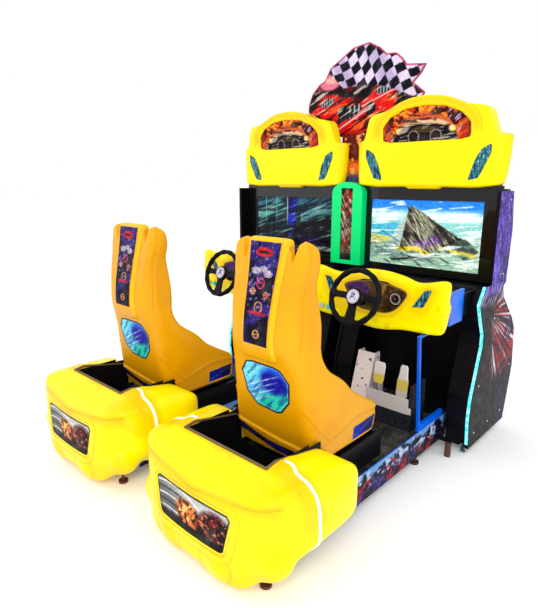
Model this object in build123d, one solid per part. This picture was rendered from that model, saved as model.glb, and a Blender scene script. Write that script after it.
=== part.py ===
from build123d import *
import os
from math import cos, radians, sin

os.makedirs("parts", exist_ok=True)

# Twin sit-down racing cabinet. Millimetres, +X to the player's right, +Y from
# the seats towards the screens, +Z up, floor at Z = 0.

# ---- driving dimensions ----
UNIT_X = 503.0  # half the pitch between the two seats
UNITS = (("left", -UNIT_X, -1), ("right", UNIT_X, 1))
PANEL_OUT = 460.0  # cabinet side panels, outer face from a unit's centre
BOARD = 18.0
PANEL_IN = PANEL_OUT - BOARD
CARCASS_HALF = PANEL_IN
FOOTWELL_HALF = 323.0
SCREEN_Y = 700.0
SCREEN_Z = 1190.0
SCREEN_W = 698.0
SCREEN_H = 392.0
BEZEL_T = 8.0
BEZEL_TOP = 1470.0
LCD_T = 34.0
FLOOR_Z = 150.0
BASE_OUT = 300.0
BASE_SKIN = 3.0
RAIL_IN = 262.0
RAIL_OUT = 294.0
RAIL_WALL = 3.0
SHELL_T = 5.0
DASH_WALL = 4.0
POD_T = 6.0
ART_T = 4.0
TRAY_HALF = 243.0
TRAY_REAR = -905.0
TRAY_FRONT = -572.0
WHEEL_C = (0.0, 5.0, 926.0)
WHEEL_TILT = 20.0
WHEEL_R = 138.0
RIM_R = 14.5
SHAFT_R = 12.0
RUNNING = 0.05
GAP = 0.4
BUTTONS = ((-289.0, 793.0), (-339.0, 795.0))
PEDAL_PIVOT = (330.0, 235.0)
CASTER_R = 25.0
CASTER_Z = 25.5
CASTER_U = 425.0
CASTER_Y = (532.0, 857.0)
BADGE_R = 36.0
POST_X = 150.0
SKIN = 3.0

# ---- outlines: side views are (y, z), front views (x, z), plans (x, y) ----
PANEL_SIDE = [(608, 1445), (608, 958), (539, 958), (477, 871), (519, 779), (567, 691), (569, 627), (543, 538),
              (517, 448), (485, 344), (476, 223), (496, 71), (498, 42), (1030, 42), (1077, 252), (1100, 377),
              (1080, 516), (1060, 629), (999, 704), (815, 864), (790, 928), (825, 945), (838, 1238), (795, 1445)]
LIGHT_PATH = PANEL_SIDE[2:12]
CARCASS_SIDE = [(736, 1454), (736, 942), (548, 942), (488, 870), (528, 782), (576, 692), (578, 626), (552, 538),
                (526, 448), (494, 344), (486, 223), (505, 71), (507, 45), (1000, 45), (1000, 690), (810, 850),
                (792, 925), (792, 1454)]
SEAT_SIDE = [(-590, 300), (-640, 430), (-655, 533), (-670, 681), (-690, 760), (-722, 845), (-708, 960), (-682, 1080),
             (-660, 1180), (-646, 1262), (-632, 1284), (-600, 1277), (-560, 1245), (-548, 1180), (-556, 1110),
             (-548, 1040), (-545, 900), (-545, 800), (-505, 728), (-400, 660), (-330, 585), (-220, 520), (-112, 463),
             (-126, 300)]
SEAT_FRONT = [(228, 300), (245, 400), (250, 500), (250, 620), (238, 723), (228, 800), (208, 950), (188, 1060),
              (186, 1110), (200, 1160), (202, 1240), (170, 1268), (100, 1285)]
SEAT_PLAN = [(110, -725), (150, -705), (190, -662), (222, -605), (245, -500), (250, -400), (250, -200), (235, -100)]
SCOOP_SIDE = [(-560, 460), (-578, 560), (-600, 640), (-636, 760), (-666, 860), (-655, 980), (-632, 1100), (-608, 1190),
              (-590, 1240), (-570, 1320), (0, 1320), (0, 470), (-90, 466), (-300, 446)]
SCOOP_FRONT = [(178, 430), (192, 520), (196, 600), (186, 700), (172, 800), (152, 950), (134, 1060), (132, 1110),
               (142, 1160), (142, 1320)]
MARQUEE_FRONT = [(0, 1450), (96, 1450), (108, 1463), (300, 1459), (425, 1474), (440, 1486), (450, 1540), (458, 1640),
                 (462, 1730), (398, 1738), (385, 1768), (358, 1852), (335, 1873), (230, 1891), (150, 1928), (80, 1947),
                 (0, 1953)]
MARQUEE_SIDE = [(652, 1445), (640, 1600), (640, 1735), (612, 1900), (605, 1955), (640, 1965), (722, 1965), (722, 1445)]
MARQUEE_PLAN = [(0, 600), (300, 606), (400, 634), (462, 682), (470, 730), (0, 730)]
MARQUEE_WINDOW = [(266, 1712), (262, 1800), (215, 1850), (120, 1890), (0, 1902)]
MARQUEE_LENS = [(318, 1512), (262, 1500), (290, 1590), (322, 1655), (374, 1684), (376, 1640)]
DASH_FRONT = [(0, 1042), (68, 1039), (163, 1023), (230, 999), (282, 1003), (376, 1027), (409, 1018), (401, 916),
              (413, 902), (392, 767), (372, 750), (303, 742), (182, 743), (62, 718), (0, 712)]
DASH_SIDE = [(205, 705), (190, 760), (190, 985), (212, 1050), (246, 1050), (246, 705)]
INSTRUMENT = [(0, 984), (70, 976), (192, 950), (192, 918), (112, 818), (0, 812)]
DASH_LENS = [(324, 974), (286, 968), (225, 875), (286, 885)]
POD_PLAN = [(0, -1100), (100, -1097), (200, -1082), (270, -1068), (320, -1048), (365, -1012), (405, -960),
            (436, -890), (452, -810), (457, -740), (455, -680), (448, -620), (425, -560), (380, -534), (0, -532)]
POD_SIDE = [(-920, 20), (-1078, 20), (-1100, 90), (-1094, 200), (-1076, 335), (-1040, 425), (-905, 462), (-850, 476),
            (-790, 468), (-740, 452), (-680, 442), (-608, 426), (-565, 402), (-532, 372), (-532, 215), (-672, 168),
            (-800, 130), (-870, 80), (-905, 30)]
POD_REAR = [(0, 52), (55, 52), (105, 15), (185, 18), (275, 52), (327, 98), (378, 131), (441, 205), (452, 250),
            (452, 310), (444, 363), (425, 403), (390, 432), (335, 443), (288, 480), (0, 480)]
POD_BAND = [(-812, 472), (-824, 452), (-831, 420), (-831, 380), (-829, 320), (-825, 240), (-818, 160), (-840, 100),
            (-880, 48)]
POD_WINDOW = [(0, 326), (205, 332), (221, 316), (190, 178), (176, 168), (0, 166)]
TOPPER = [(-449, 1962), (-446, 2007), (-418, 2071), (-361, 2125), (-310, 2147), (-271, 2216), (-189, 2262),
          (-93, 2314), (20, 2328), (95, 2289), (146, 2245), (210, 2240), (252, 2208), (283, 2168), (409, 2153),
          (381, 2106), (335, 2060), (411, 1999), (380, 1930), (300, 1850), (120, 1770), (-65, 1759), (-220, 1790),
          (-380, 1860)]


# ---- helpers ----
def outline(points, grow=0.0):
    face = Polygon(*points, align=None)
    if grow:
        face = offset(face, amount=grow, kind=Kind.INTERSECTION)
    return face


def mirrored(points):
    other = [(-x, v) for x, v in reversed(points) if x > 0]
    return [p for p in points] + other


def prism_x(points, x0, x1, grow=0.0):
    face = Plane.YZ.offset(x0) * outline(points, grow)
    return extrude(face, amount=x1 - x0, dir=(1, 0, 0))


def prism_y(points, y0, y1, grow=0.0):
    face = Plane.XZ.offset(-y0) * outline(points, grow)
    return extrude(face, amount=y1 - y0, dir=(0, 1, 0))


def prism_z(points, z0, z1, grow=0.0):
    face = Plane.XY.offset(z0) * outline(points, grow)
    return extrude(face, amount=z1 - z0, dir=(0, 0, 1))


def block(x0, x1, y0, y1, z0, z1):
    centre = Pos((x0 + x1) / 2, (y0 + y1) / 2, (z0 + z1) / 2)
    return centre * Box(x1 - x0, y1 - y0, z1 - z0)


def rod_x(x0, x1, y, z, r):
    return Pos((x0 + x1) / 2, y, z) * Rot(0, 90, 0) * Cylinder(r, x1 - x0)


def rod_y(y0, y1, x, z, r):
    return Pos(x, (y0 + y1) / 2, z) * Rot(90, 0, 0) * Cylinder(r, y1 - y0)


def rod_z(z0, z1, x, y, r):
    return Pos(x, y, (z0 + z1) / 2) * Cylinder(r, z1 - z0)


def band_path(path, shift):
    """A strip drawn in front of an edge: the path and its shifted copy."""
    ahead = [(y - shift, z) for y, z in reversed(path)]
    return list(path) + ahead


def save(solids, node):
    parts = []
    for s in solids:
        parts += list(s.solids())
    whole = parts[0] if len(parts) == 1 else Compound(children=parts)
    whole.label = node
    export_step(whole, os.path.join("parts", node + ".step"))


def per_unit(make):
    """The same piece in both units, as separate solids of one node."""
    return [Pos(ux, 0, 0) * make(side) for name, ux, side in UNITS]


def at_wheel(solid):
    """Places a solid built along +Z (towards the driver) on the tilted wheel axis."""
    return Pos(*WHEEL_C) * Rot(90 - WHEEL_TILT, 0, 0) * solid


# ---- cabinet ----
def carcass():
    body = prism_x(CARCASS_SIDE, -CARCASS_HALF, CARCASS_HALF)
    body -= block(-FOOTWELL_HALF, FOOTWELL_HALF, 400, SCREEN_Y, 0, 880)
    inner = CARCASS_HALF - BOARD
    body -= block(-inner, inner, 754, 776, 960, 1430)
    body -= block(-inner, inner, SCREEN_Y + BOARD, 1000 - 15, 63, 690 - BOARD)
    body -= block(-290, 290, 980, 1010, 120, 640)
    for s in (-1, 1):
        x0, x1 = sorted((s * (FOOTWELL_HALF + BOARD), s * inner))
        body -= block(x0, x1, 600, SCREEN_Y + BOARD + 5, 63, 860)
        a0, a1 = sorted((s * 388, s * 400))
        body += block(a0, a1, 400, 560, 820, 936)
    for x, y in ((CASTER_U, CASTER_Y[0]), (CASTER_U, CASTER_Y[1])):
        for s in (-1, 1):
            body -= block(s * x - 17, s * x + 17, y - 30, y + 30, 40, 60)
    body += light_box()
    body += hinge_lugs()
    return body


def light_box():
    """Closed box behind the marquee shell that carries its lamps."""
    box = block(-400, 400, 722, 792, 1454, 1700)
    return box - block(-382, 382, 722 + BOARD, 774, 1472, 1682)


def hinge_lugs():
    lugs = rod_z(180, 580, -308, 1008, 3)
    for z0 in (180, 560 + GAP):
        lugs += block(-314, -302, 998, 1012, z0, z0 + 20 - GAP)
    return lugs


def rear_door():
    door = block(-307, 300, 1001, 1011, 110, 650)
    door -= block(-320, -296, 1000, 1012, 100, 205)
    door -= block(-320, -296, 1000, 1012, 555, 660)
    door += rod_z(205, 555, -308, 1008, 6)
    door -= rod_z(200, 560, -308, 1008, 3 + RUNNING)
    door += rod_y(1008, 1018, 262, 380, 12)
    for k in range(5):
        z = 480 + 22 * k
        door -= block(-160, 160, 1000, 1012, z, z + 9)
    return door


def side_panels():
    made = []
    for name, ux, side in UNITS:
        outer = sorted((side * PANEL_IN, side * PANEL_OUT))
        inner = sorted((-side * PANEL_IN, -side * PANEL_OUT))
        made.append(prism_x(PANEL_SIDE, ux + outer[0], ux + outer[1]))
        plain = prism_x(PANEL_SIDE, ux + inner[0], ux + inner[1])
        made.append(plain - block(-UNIT_X, UNIT_X, 400, SCREEN_Y - BEZEL_T, 930, 1500))
    return made


def light_strips():
    made = []
    for name, ux, side in UNITS:
        x0, x1 = sorted((side * (PANEL_IN + 2), side * (PANEL_OUT - 2)))
        made.append(prism_x(band_path(LIGHT_PATH, 9), ux + x0, ux + x1))
    return made


def bezel(side):
    face = block(-PANEL_IN, PANEL_IN, SCREEN_Y - BEZEL_T, SCREEN_Y, 950, BEZEL_TOP)
    face -= marquee_body(GAP)
    half_w, half_h = SCREEN_W / 2, SCREEN_H / 2
    low, high = SCREEN_Z - half_h, SCREEN_Z + half_h
    face -= block(-half_w, half_w, SCREEN_Y - 20, SCREEN_Y + 5, low, high)
    return face


def monitor(side):
    edge = 14
    half_w, half_h = SCREEN_W / 2 + edge, SCREEN_H / 2 + edge
    panel = block(-half_w, half_w, SCREEN_Y, SCREEN_Y + LCD_T, SCREEN_Z - half_h, SCREEN_Z + half_h)
    back = block(-150, 150, SCREEN_Y + LCD_T, 736, SCREEN_Z - 120, SCREEN_Z + 120)
    return panel + back


def marquee_body(grow):
    front = prism_y(mirrored(MARQUEE_FRONT), 590, 722, grow)
    front = front & prism_z(mirrored(MARQUEE_PLAN), 1440, 1960, grow)
    return front & prism_x(MARQUEE_SIDE, -500, 500, grow)


def lens_points(points, side):
    return [(side * x, z) for x, z in points]


def marquee_shell():
    shell = marquee_body(0) - marquee_body(-SHELL_T)
    inside = prism_y(mirrored(MARQUEE_FRONT), 705, 730, -SHELL_T)
    shell -= inside
    shell -= prism_y(mirrored(MARQUEE_WINDOW), 560, 700)
    for side in (-1, 1):
        shell -= prism_y(lens_points(MARQUEE_LENS, side), 560, 700)
    return shell


def marquee_art(side):
    plate = marquee_body(-SHELL_T) - marquee_body(-SHELL_T - ART_T)
    return plate & prism_y(mirrored(MARQUEE_WINDOW), 560, 680, 8)


def lamps():
    made = []
    for name, ux, side in UNITS:
        for s in (-1, 1):
            lens = (marquee_body(0) - marquee_body(-SHELL_T)) & prism_y(lens_points(MARQUEE_LENS, s), 560, 700)
            made.append(Pos(ux, 0, 0) * lens)
            low = prism_y(lens_points(DASH_LENS, s), 188, 194)
            made.append(Pos(ux, 0, 0) * low)
    return made


# ---- strip between the units ----
def column_outline(inset):
    half = 115 - inset
    top = 1490 - inset
    spring = 1420
    points = [(half, 966 + inset), (half, spring)]
    for k in range(1, 8):
        a = radians(90 * k / 7)
        points.append((half * cos(a) if k < 7 else 0, spring + (top - spring) * sin(a)))
    return mirrored(points)


def column_slot(grow):
    return block(-44 - grow, 44 + grow, 560, 690, 992 - grow, 1452 + grow)


def column_housing():
    shell = prism_y(column_outline(0), 638, SCREEN_Y - BEZEL_T)
    shell -= prism_y(column_outline(SHELL_T), 643, SCREEN_Y)
    for ux in (-UNIT_X, UNIT_X):
        shell -= Pos(ux, 0, 0) * marquee_body(0.5)
    return shell - column_slot(0)


def centre_artwork():
    strip = block(-50, 50, 643, 646, 986, 1458)
    infill = block(-42.9, 42.9, SCREEN_Y, SCREEN_Y + 4, 45, 1455)
    infill += block(-102, 102, 722.5, 726.5, 1455, 1790)
    infill += block(-42.9, 42.9, SCREEN_Y, 726.5, 1440, 1455)
    return [strip, infill]


def topper():
    return prism_y(TOPPER, 793, 801)


def topper_posts():
    made = []
    for x in (-POST_X, POST_X):
        post = block(x - 14, x + 14, 802, 826, 1300, 2080)
        post -= block(x - 11, x + 11, 805, 823, 1303, 2090)
        made.append(post + block(x - 14, x + 14, 792, 802, 1300, 1420))
    return made


# ---- dashboard ----
def dash_body(grow):
    front = prism_y(mirrored(DASH_FRONT), 180, 246, grow)
    return front & prism_x(DASH_SIDE, -420, 420, grow)


def dashboard():
    shell = dash_body(0) - dash_body(-DASH_WALL)
    shell -= prism_y(mirrored(DASH_FRONT), 236, 260, -DASH_WALL)
    shell -= prism_y(mirrored(INSTRUMENT), 180, 200)
    for s in (-1, 1):
        shell -= prism_y(lens_points(DASH_LENS, s), 180, 200)
    for u, z in BUTTONS:
        shell -= rod_y(180, 200, u, z, 9 + GAP)
    return shell


def instruments(side):
    plate = prism_y(mirrored(INSTRUMENT), 194, 198, 8)
    dial = rod_y(187, 194, 128, 903, 36) - rod_y(185, 189, 128, 903, 31)
    plate = (plate & prism_x(DASH_SIDE, -420, 420, -DASH_WALL)) + dial
    return plate - at_wheel(Pos(0, 0, -200) * Cylinder(36, 120))


def column_tube(side):
    tube = at_wheel(Pos(0, 0, -205) * Cylinder(34, 270))
    cross = block(-388, 388, 300, 308, 800, 880)
    tube = tube + (cross - at_wheel(Pos(0, 0, -250) * Cylinder(30, 400)))
    return tube - at_wheel(Pos(0, 0, -205) * Cylinder(SHAFT_R + RUNNING, 300))


def bracket(side):
    made = block(388, 400, 246, 400, 796, 966)
    made += block(-400, -388, 246, 400, 796, 966)
    tube = prism_x([(150, 742), (164, 742), (220, 236), (220, 200), (206, 200)], 286, 300)
    tube += block(284, 302, 150, 240, 734, 742)
    brace = block(284, 302, 206, 484, 200, 240)
    return made + tube + brace


def button(u, z, reach):
    cap = rod_y(175, 184, u, z, 14)
    return cap + rod_y(184, 184 + reach, u, z, 9)


def steering_wheel():
    rim = Torus(WHEEL_R, RIM_R)
    hub = Cylinder(40, 26)
    wheel = rim + hub
    for angle, width in ((0, 34), (180, 34), (270, 60)):
        spoke = Rot(0, 0, angle) * Pos(WHEEL_R / 2 + 8, 0, 0) * Box(WHEEL_R - 30, width, 9)
        wheel += spoke
    wheel += Pos(0, 0, -38) * Cylinder(22, 58)
    wheel += Pos(0, 0, -180) * Cylinder(SHAFT_R, 300)
    return at_wheel(wheel)


def badge():
    return at_wheel(Pos(0, 0, 14.5) * Cylinder(BADGE_R, 3))


# ---- pedals ----
def pedal_box(side):
    box = block(-57, 222, 262, 420, FLOOR_Z, 290)
    box -= block(-53, 218, 266, 416, FLOOR_Z + 4, 286)
    for u, half in ((3, 14), (150, 16)):
        box -= block(u - half, u + half, 272, 412, 280, 300)
    box += block(206, 222, 268, 420, 290, 417)
    box += block(-57, 205, 256, 262, 252, 340)
    box += rod_x(-55, 220, *PEDAL_PIVOT, 6)
    return box


def pedal(u, half, low, high, lean, arm_half):
    face = [(272, low), (280, low - 2), (280 + lean, high), (272 + lean, high + 4)]
    pad = prism_x(face, u - half, u + half)
    y0, z0 = PEDAL_PIVOT
    mid = (low + high) / 2
    arm = [(y0 - 9, z0), (y0 + 9, z0), (302, mid + 20), (278, low + 6), (284, low + 2), (300, 300)]
    made = pad + prism_x(arm, u - arm_half, u + arm_half)
    made += rod_x(u - arm_half, u + arm_half, y0, z0, 15)
    return made - rod_x(u - 40, u + 40, y0, z0, 6 + RUNNING)


def footrest(side):
    plate = prism_x([(262, 245), (268, 243), (352, 518), (346, 520)], -178, -64)
    leg = prism_x([(268, 243), (352, 518), (400, 518), (400, FLOOR_Z), (268, FLOOR_Z)], -176, -168)
    return plate + leg + Pos(102, 0, 0) * leg


# ---- base ----
def tube_pair(x0, x1, y0, y1, z0, z1, along):
    w = RAIL_WALL
    outer = block(x0, x1, y0, y1, z0, z1)
    if along == "y":
        return outer, block(x0 + w, x1 - w, y0 - w, y1 + w, z0 + w, z1 - w)
    return outer, block(x0 - w, x1 + w, y0 + w, y1 - w, z0 + w, z1 - w)


def base_frame(side):
    z0, z1 = 60, FLOOR_Z - 5
    pairs = []
    for s in (-1, 1):
        x0, x1 = sorted((s * RAIL_IN, s * RAIL_OUT))
        pairs.append(tube_pair(x0, x1, -962, 548, z0, z1, "y"))
    for y in (-946, -516, -200, 140, 520):
        pairs.append(tube_pair(-RAIL_IN, RAIL_IN, y - 16, y + 16, z0 + 10, z1, "x"))
    frame = pairs[0][0]
    for outer, inner in pairs[1:]:
        frame += outer
    for outer, inner in pairs:
        frame -= inner
    for s in (-1, 1):
        x0, x1 = sorted((s * RAIL_OUT, s * 400))
        frame += block(x0, x1, 404, 444, 92, 100)
    return frame


def floor_plate(side):
    return block(-296, 296, -645, 552, FLOOR_Z - 5, FLOOR_Z)


def base_skin(side):
    made = []
    for s in (-1, 1):
        x0, x1 = sorted((s * (BASE_OUT - BASE_SKIN), s * BASE_OUT))
        plate = block(x0, x1, -860, 552, 52, 200)
        made.append(plate - block(x0 - 1, x1 + 1, 403, 445, 40, 101))
    return made


def levelling_foot(x, y, top):
    return rod_z(0, 12, x, y, 24) + rod_z(12, top, x, y, 8)


def levelling_feet():
    made = []
    for name, ux, side in UNITS:
        for s in (-1, 1):
            made.append(levelling_foot(ux + s * 278, -946, 60))
            made.append(levelling_foot(ux + s * 278, 232, 60))
            made.append(rod_z(0, 92, ux + s * 378, 424, 17))
            made.append(levelling_foot(ux + s * 380, 960, 45))
    return made


def caster_spots():
    return [("%s_%s" % (end, name), ux + side * CASTER_U, y)
            for name, ux, side in UNITS
            for end, y in zip(("front", "rear"), CASTER_Y)]


def caster_fork(x, y):
    fork = block(x - 14, x + 14, y - 20, y + 20, 56.5, 60)
    for s in (-1, 1):
        fork += block(x + s * 11.5 - 1.5, x + s * 11.5 + 1.5, y - 11, y + 11, CASTER_Z - 8, 58)
    return fork + rod_x(x - 12, x + 12, y, CASTER_Z, 3)


def caster_wheel(x, y):
    return rod_x(x - 9, x + 9, y, CASTER_Z, CASTER_R) - rod_x(x - 10, x + 10, y, CASTER_Z, 3 + RUNNING)


# ---- seat ----
def seat_body(grow):
    body = prism_x(SEAT_SIDE, -260, 260, grow)
    body = body & prism_y(mirrored(SEAT_FRONT), -800, 0, grow)
    return body & prism_z(mirrored(SEAT_PLAN), 300, 1320, grow)


def scoop(grow):
    return prism_x(SCOOP_SIDE, -260, 260, grow) & prism_y(mirrored(SCOOP_FRONT), -800, 20, grow)


def seat_shell():
    wall = 9
    shell = seat_body(0) - scoop(0)
    hollow = seat_body(-wall) - scoop(wall)
    opening = block(-150, 150, -500, -220, 315, 345)
    pocket = prism_z(mirrored(SEAT_PLAN), 290, 326, -wall) & block(-217, 217, -580, -142, 290, 326)
    lever_gap = block(-48, 108, -165, -100, 290, 326)
    return shell - hollow - opening - pocket - lever_gap


def seat_skin(window):
    return (seat_body(SKIN) - seat_body(0)) & window


def seat_panels():
    strip = prism_y(mirrored([(84, 1262), (72, 1080), (66, 845)]), -800, -600)
    shield = [(0, 752), (98, 748), (140, 690), (120, 600), (60, 536), (0, 528)]
    shade = prism_y(mirrored(shield), -800, -600)
    made = [seat_skin(strip), seat_skin(shade)]
    plaque = [(-330, 340), (-150, 340), (-136, 420), (-330, 413)]
    for x0, x1 in ((-300, -240), (240, 300)):
        made.append(seat_skin(prism_x(plaque, x0, x1)))
    return made


def carriage():
    frame = block(-200, 200, -520, -160, 296, 326) - block(-120, 120, -480, -200, 290, 330)
    for s in (-1, 1):
        frame += block(s * 150 - 24, s * 150 + 24, -520, -160, 276, 296)
        frame -= block(s * 150 - 20 - GAP, s * 150 + 20 + GAP, -530, -150, 270, 290 + GAP)
    for s in (-1, 1):
        frame += block(s * 60 - 4 + 30, s * 60 + 4 + 30, -162, -136, 300, 324)
    return frame - rod_x(-60, 120, -146, 308, 4 + RUNNING)


def seat_rails(side):
    made = []
    for s in (-1, 1):
        riser = block(s * 150 - 20, s * 150 + 20, -600, -60, FLOOR_Z, 290)
        riser -= block(s * 150 - 17, s * 150 + 17, -603, -57, FLOOR_Z + 3, 287)
        made.append(riser)
    plinth = block(-225, 225, -612, -48, FLOOR_Z, 290) - block(-213, 213, -600, -60, FLOOR_Z - 1, 291)
    made.append(plinth - block(-213, 213, -620, -40, 268, 291))
    return made


def lever():
    pivot = rod_x(-26 - 10, 86 + 10, -146, 308, 4)
    arm = block(0, 60, -152, -140, 303, 313) + block(24, 36, -140, -60, 303, 313)
    grip = rod_x(-10, 70, -56, 308, 9)
    return pivot + arm + grip


# ---- tail pod ----
def pod_body(grow):
    body = prism_z(mirrored(POD_PLAN), 0, 560, grow) & prism_x(POD_SIDE, -480, 480, grow)
    return body & prism_y(mirrored(POD_REAR), -1120, -500, grow)


def pod_inlays():
    """Flush pieces let into the pod's skin: two light strips and the rear window."""
    skin = pod_body(0) - pod_body(-SKIN)
    strips = []
    for s in (-1, 1):
        x0, x1 = sorted((s * 262, s * 480))
        strip = skin & prism_x(band_path(POD_BAND, 14), x0, x1)
        strips.append(strip - block(-306, 306, -975, -500, 10, 208))
    return strips, skin & prism_y(mirrored(POD_WINDOW), -1120, -1000)


def pod_shell():
    cavity = pod_body(-POD_T)
    cavity -= block(-TRAY_HALF - POD_T, TRAY_HALF + POD_T, TRAY_REAR - POD_T, -500, 0, 600)
    shell = pod_body(0) - cavity
    shell -= block(-TRAY_HALF, TRAY_HALF, TRAY_REAR, -500, 0, 600)
    shell -= block(-270, 270, -1060, -930, 0, 70)
    for s in (-1, 1):
        x0, x1 = sorted((s * 254, s * 306))
        shell -= block(x0, x1, -975, -500, 10, 208)
    strips, window = pod_inlays()
    for inlay in strips + [window]:
        shell -= inlay
    return shell


def pod_band(side):
    return pod_inlays()[0]


def pod_window(side):
    return pod_inlays()[1]


def tray(side):
    half = TRAY_HALF - 1
    rear = TRAY_REAR + 1
    box = block(-half, half, rear, -650, 200, 455) - block(-half + 4, half - 4, rear + 4, -654, 205, 470)
    box -= block(-half + 4, half - 4, -660, -640, 330, 470)
    for s in (-1, 1):
        x0, x1 = sorted((s * half, s * (half - 4)))
        box += block(x0, x1, -652, TRAY_FRONT, 200, 440)
    return box


# ---- fasteners ----
def bolts():
    made = []
    for name, ux, side in UNITS:
        x = ux + side * (PANEL_OUT + 1.5)
        for y, z in ((560, 120), (560, 400), (760, 120), (960, 120), (1040, 400), (700, 760), (760, 1000), (760, 1400)):
            made.append(rod_x(x - 1.5, x + 1.5, y, z, 6))
        for s in (-1, 1):
            bx = ux + s * (BASE_OUT + 1.5)
            for y in (-420, -100, 330):
                made.append(rod_x(bx - 1.5, bx + 1.5, y, 126, 5))
    return made


def flat(groups):
    return [solid for group in groups for solid in group]


def grouped(make):
    """Several solids per unit, moved to both units."""
    return flat([[Pos(ux, 0, 0) * s for s in make(side)] for name, ux, side in UNITS])


for name, ux, side in UNITS:
    here = Pos(ux, 0, 0)
    save([here * carcass()], "cabinet_carcass_" + name)
    save([here * rear_door()], "rear_door_" + name)
    save([here * marquee_shell()], "marquee_shell_" + name)
    save([here * dashboard()], "dashboard_shell_" + name)
    save([here * steering_wheel()], "steering_wheel_" + name)
    save([here * badge()], "wheel_badge_" + name)
    save([here * button(*BUTTONS[0], 30)], "start_button_" + name)
    save([here * button(*BUTTONS[1], 30)], "view_button_" + name)
    save([here * pedal(150, 34, 326, 512, 26, 12)], "accelerator_pedal_" + name)
    save([here * pedal(3, 36, 376, 498, 20, 9)], "brake_pedal_" + name)
    save([here * seat_shell()], "seat_shell_" + name)
    save([here * s for s in seat_panels()], "seat_panels_" + name)
    save([here * carriage()], "seat_carriage_" + name)
    save([here * lever()], "seat_lever_" + name)
    save([here * pod_shell()], "pod_shell_" + name)

save(side_panels(), "side_panels")
save(light_strips(), "edge_light_strips")
save(per_unit(bezel), "monitor_bezels")
save(per_unit(monitor), "monitor_panels")
save(per_unit(marquee_art), "marquee_artwork")
save(lamps(), "accent_lamps")
save([column_housing()], "column_housing")
save(centre_artwork(), "centre_artwork")
save([topper()], "topper_panel")
save(topper_posts(), "topper_posts")
save(per_unit(instruments), "instrument_panels")
save(per_unit(column_tube), "steering_columns")
save(per_unit(bracket), "dash_brackets")
save(per_unit(pedal_box), "pedal_boxes")
save(per_unit(footrest), "footrests")
save(per_unit(base_frame), "base_frames")
save(per_unit(floor_plate), "floor_plates")
save(grouped(base_skin), "base_side_panels")
save(grouped(seat_rails), "seat_rails")
save(grouped(pod_band), "pod_light_strips")
save(per_unit(pod_window), "pod_windows")
save(per_unit(tray), "pod_trays")
save(levelling_feet(), "levelling_feet")
save([caster_fork(x, y) for spot, x, y in caster_spots()], "caster_forks")
for spot, x, y in caster_spots():
    save([caster_wheel(x, y)], "caster_wheel_" + spot)
save(bolts(), "panel_bolts")
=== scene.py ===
import math
import bpy
import bmesh
import numpy as np
import openvdb as vdb
from mathutils import Matrix, Vector


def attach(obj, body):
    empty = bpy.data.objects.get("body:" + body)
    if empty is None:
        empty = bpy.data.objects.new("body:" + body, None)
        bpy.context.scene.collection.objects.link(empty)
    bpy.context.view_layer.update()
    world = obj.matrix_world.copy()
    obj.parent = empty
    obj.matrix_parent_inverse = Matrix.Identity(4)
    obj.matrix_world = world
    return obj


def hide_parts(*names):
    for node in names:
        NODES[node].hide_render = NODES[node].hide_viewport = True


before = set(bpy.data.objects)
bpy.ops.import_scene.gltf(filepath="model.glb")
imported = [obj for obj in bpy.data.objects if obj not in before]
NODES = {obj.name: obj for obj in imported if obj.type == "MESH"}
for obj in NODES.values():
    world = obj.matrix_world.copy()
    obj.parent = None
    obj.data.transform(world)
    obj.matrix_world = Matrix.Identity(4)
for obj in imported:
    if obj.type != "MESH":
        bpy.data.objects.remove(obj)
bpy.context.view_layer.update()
UNITS = (("left", -0.503, -1.0), ("right", 0.503, 1.0))
SCREEN_Y = 0.7
SCREEN_Z = 1.19
PICTURE_HALF = (0.349, 0.196)       # the visible picture of a 32 inch screen
FILM = 0.0008                       # how far a printed film stands off its backing
DASH_INLAY_Y = 0.194
DIAL_Y = 0.1892
COLUMN_FRONT_Y = 0.6433
INFILL_FRONT_Y = 0.7226
TOPPER_FRONT_Y = 0.793
SIDE_OUTER_X = 0.46
SKIRT_OUTER_X = 0.3


# ---------------------------------------------------------------- outlines
def mirrored(points):
    return list(points) + [(-a, b) for a, b in reversed(points) if a > 0]


def rounded(points, rounds=2, keep=0.25):
    """Corner cutting: every corner of a closed outline becomes a short curve."""
    p = np.array(points, float)
    for _ in range(rounds):
        q = np.roll(p, -1, axis=0)
        a = p * (1 - keep) + q * keep
        b = p * keep + q * (1 - keep)
        p = np.stack([a, b], 1).reshape(-1, 2)
    return p


def whole(half, rounds=2, keep=0.25):
    """The full rounded outline of a piece given by its right half."""
    return rounded(mirrored(half), rounds, keep)


def mm(points):
    return [(a / 1000.0, b / 1000.0) for a, b in points]


PANEL_SIDE = mm([
    (608, 1445), (608, 958), (539, 958), (477, 871), (519, 779), (567, 691), (569, 627), (543, 538),
    (517, 448), (485, 344), (476, 223), (496, 71), (498, 42), (1030, 42), (1077, 252), (1100, 377),
    (1080, 516), (1060, 629), (999, 704), (815, 864), (790, 928), (825, 945), (838, 1238), (795, 1445)])
POD_PLAN = mm([
    (0, -1100), (100, -1097), (200, -1082), (270, -1068), (320, -1048), (365, -1012), (405, -960),
    (436, -890), (452, -810), (457, -740), (455, -680), (448, -620), (425, -560), (380, -534), (0, -532)])
POD_SIDE = mm([
    (-920, 20), (-1078, 20), (-1100, 90), (-1094, 200), (-1076, 335), (-1040, 425), (-905, 462), (-850, 476),
    (-790, 468), (-740, 452), (-680, 442), (-608, 426), (-565, 402), (-532, 372), (-532, 215), (-672, 168),
    (-800, 130), (-870, 80), (-905, 30)])
POD_REAR = mm([
    (0, 52), (55, 52), (105, 15), (185, 18), (275, 52), (327, 98), (378, 131), (441, 205), (452, 250),
    (452, 310), (444, 363), (425, 403), (390, 432), (335, 443), (288, 480), (0, 480)])
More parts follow.
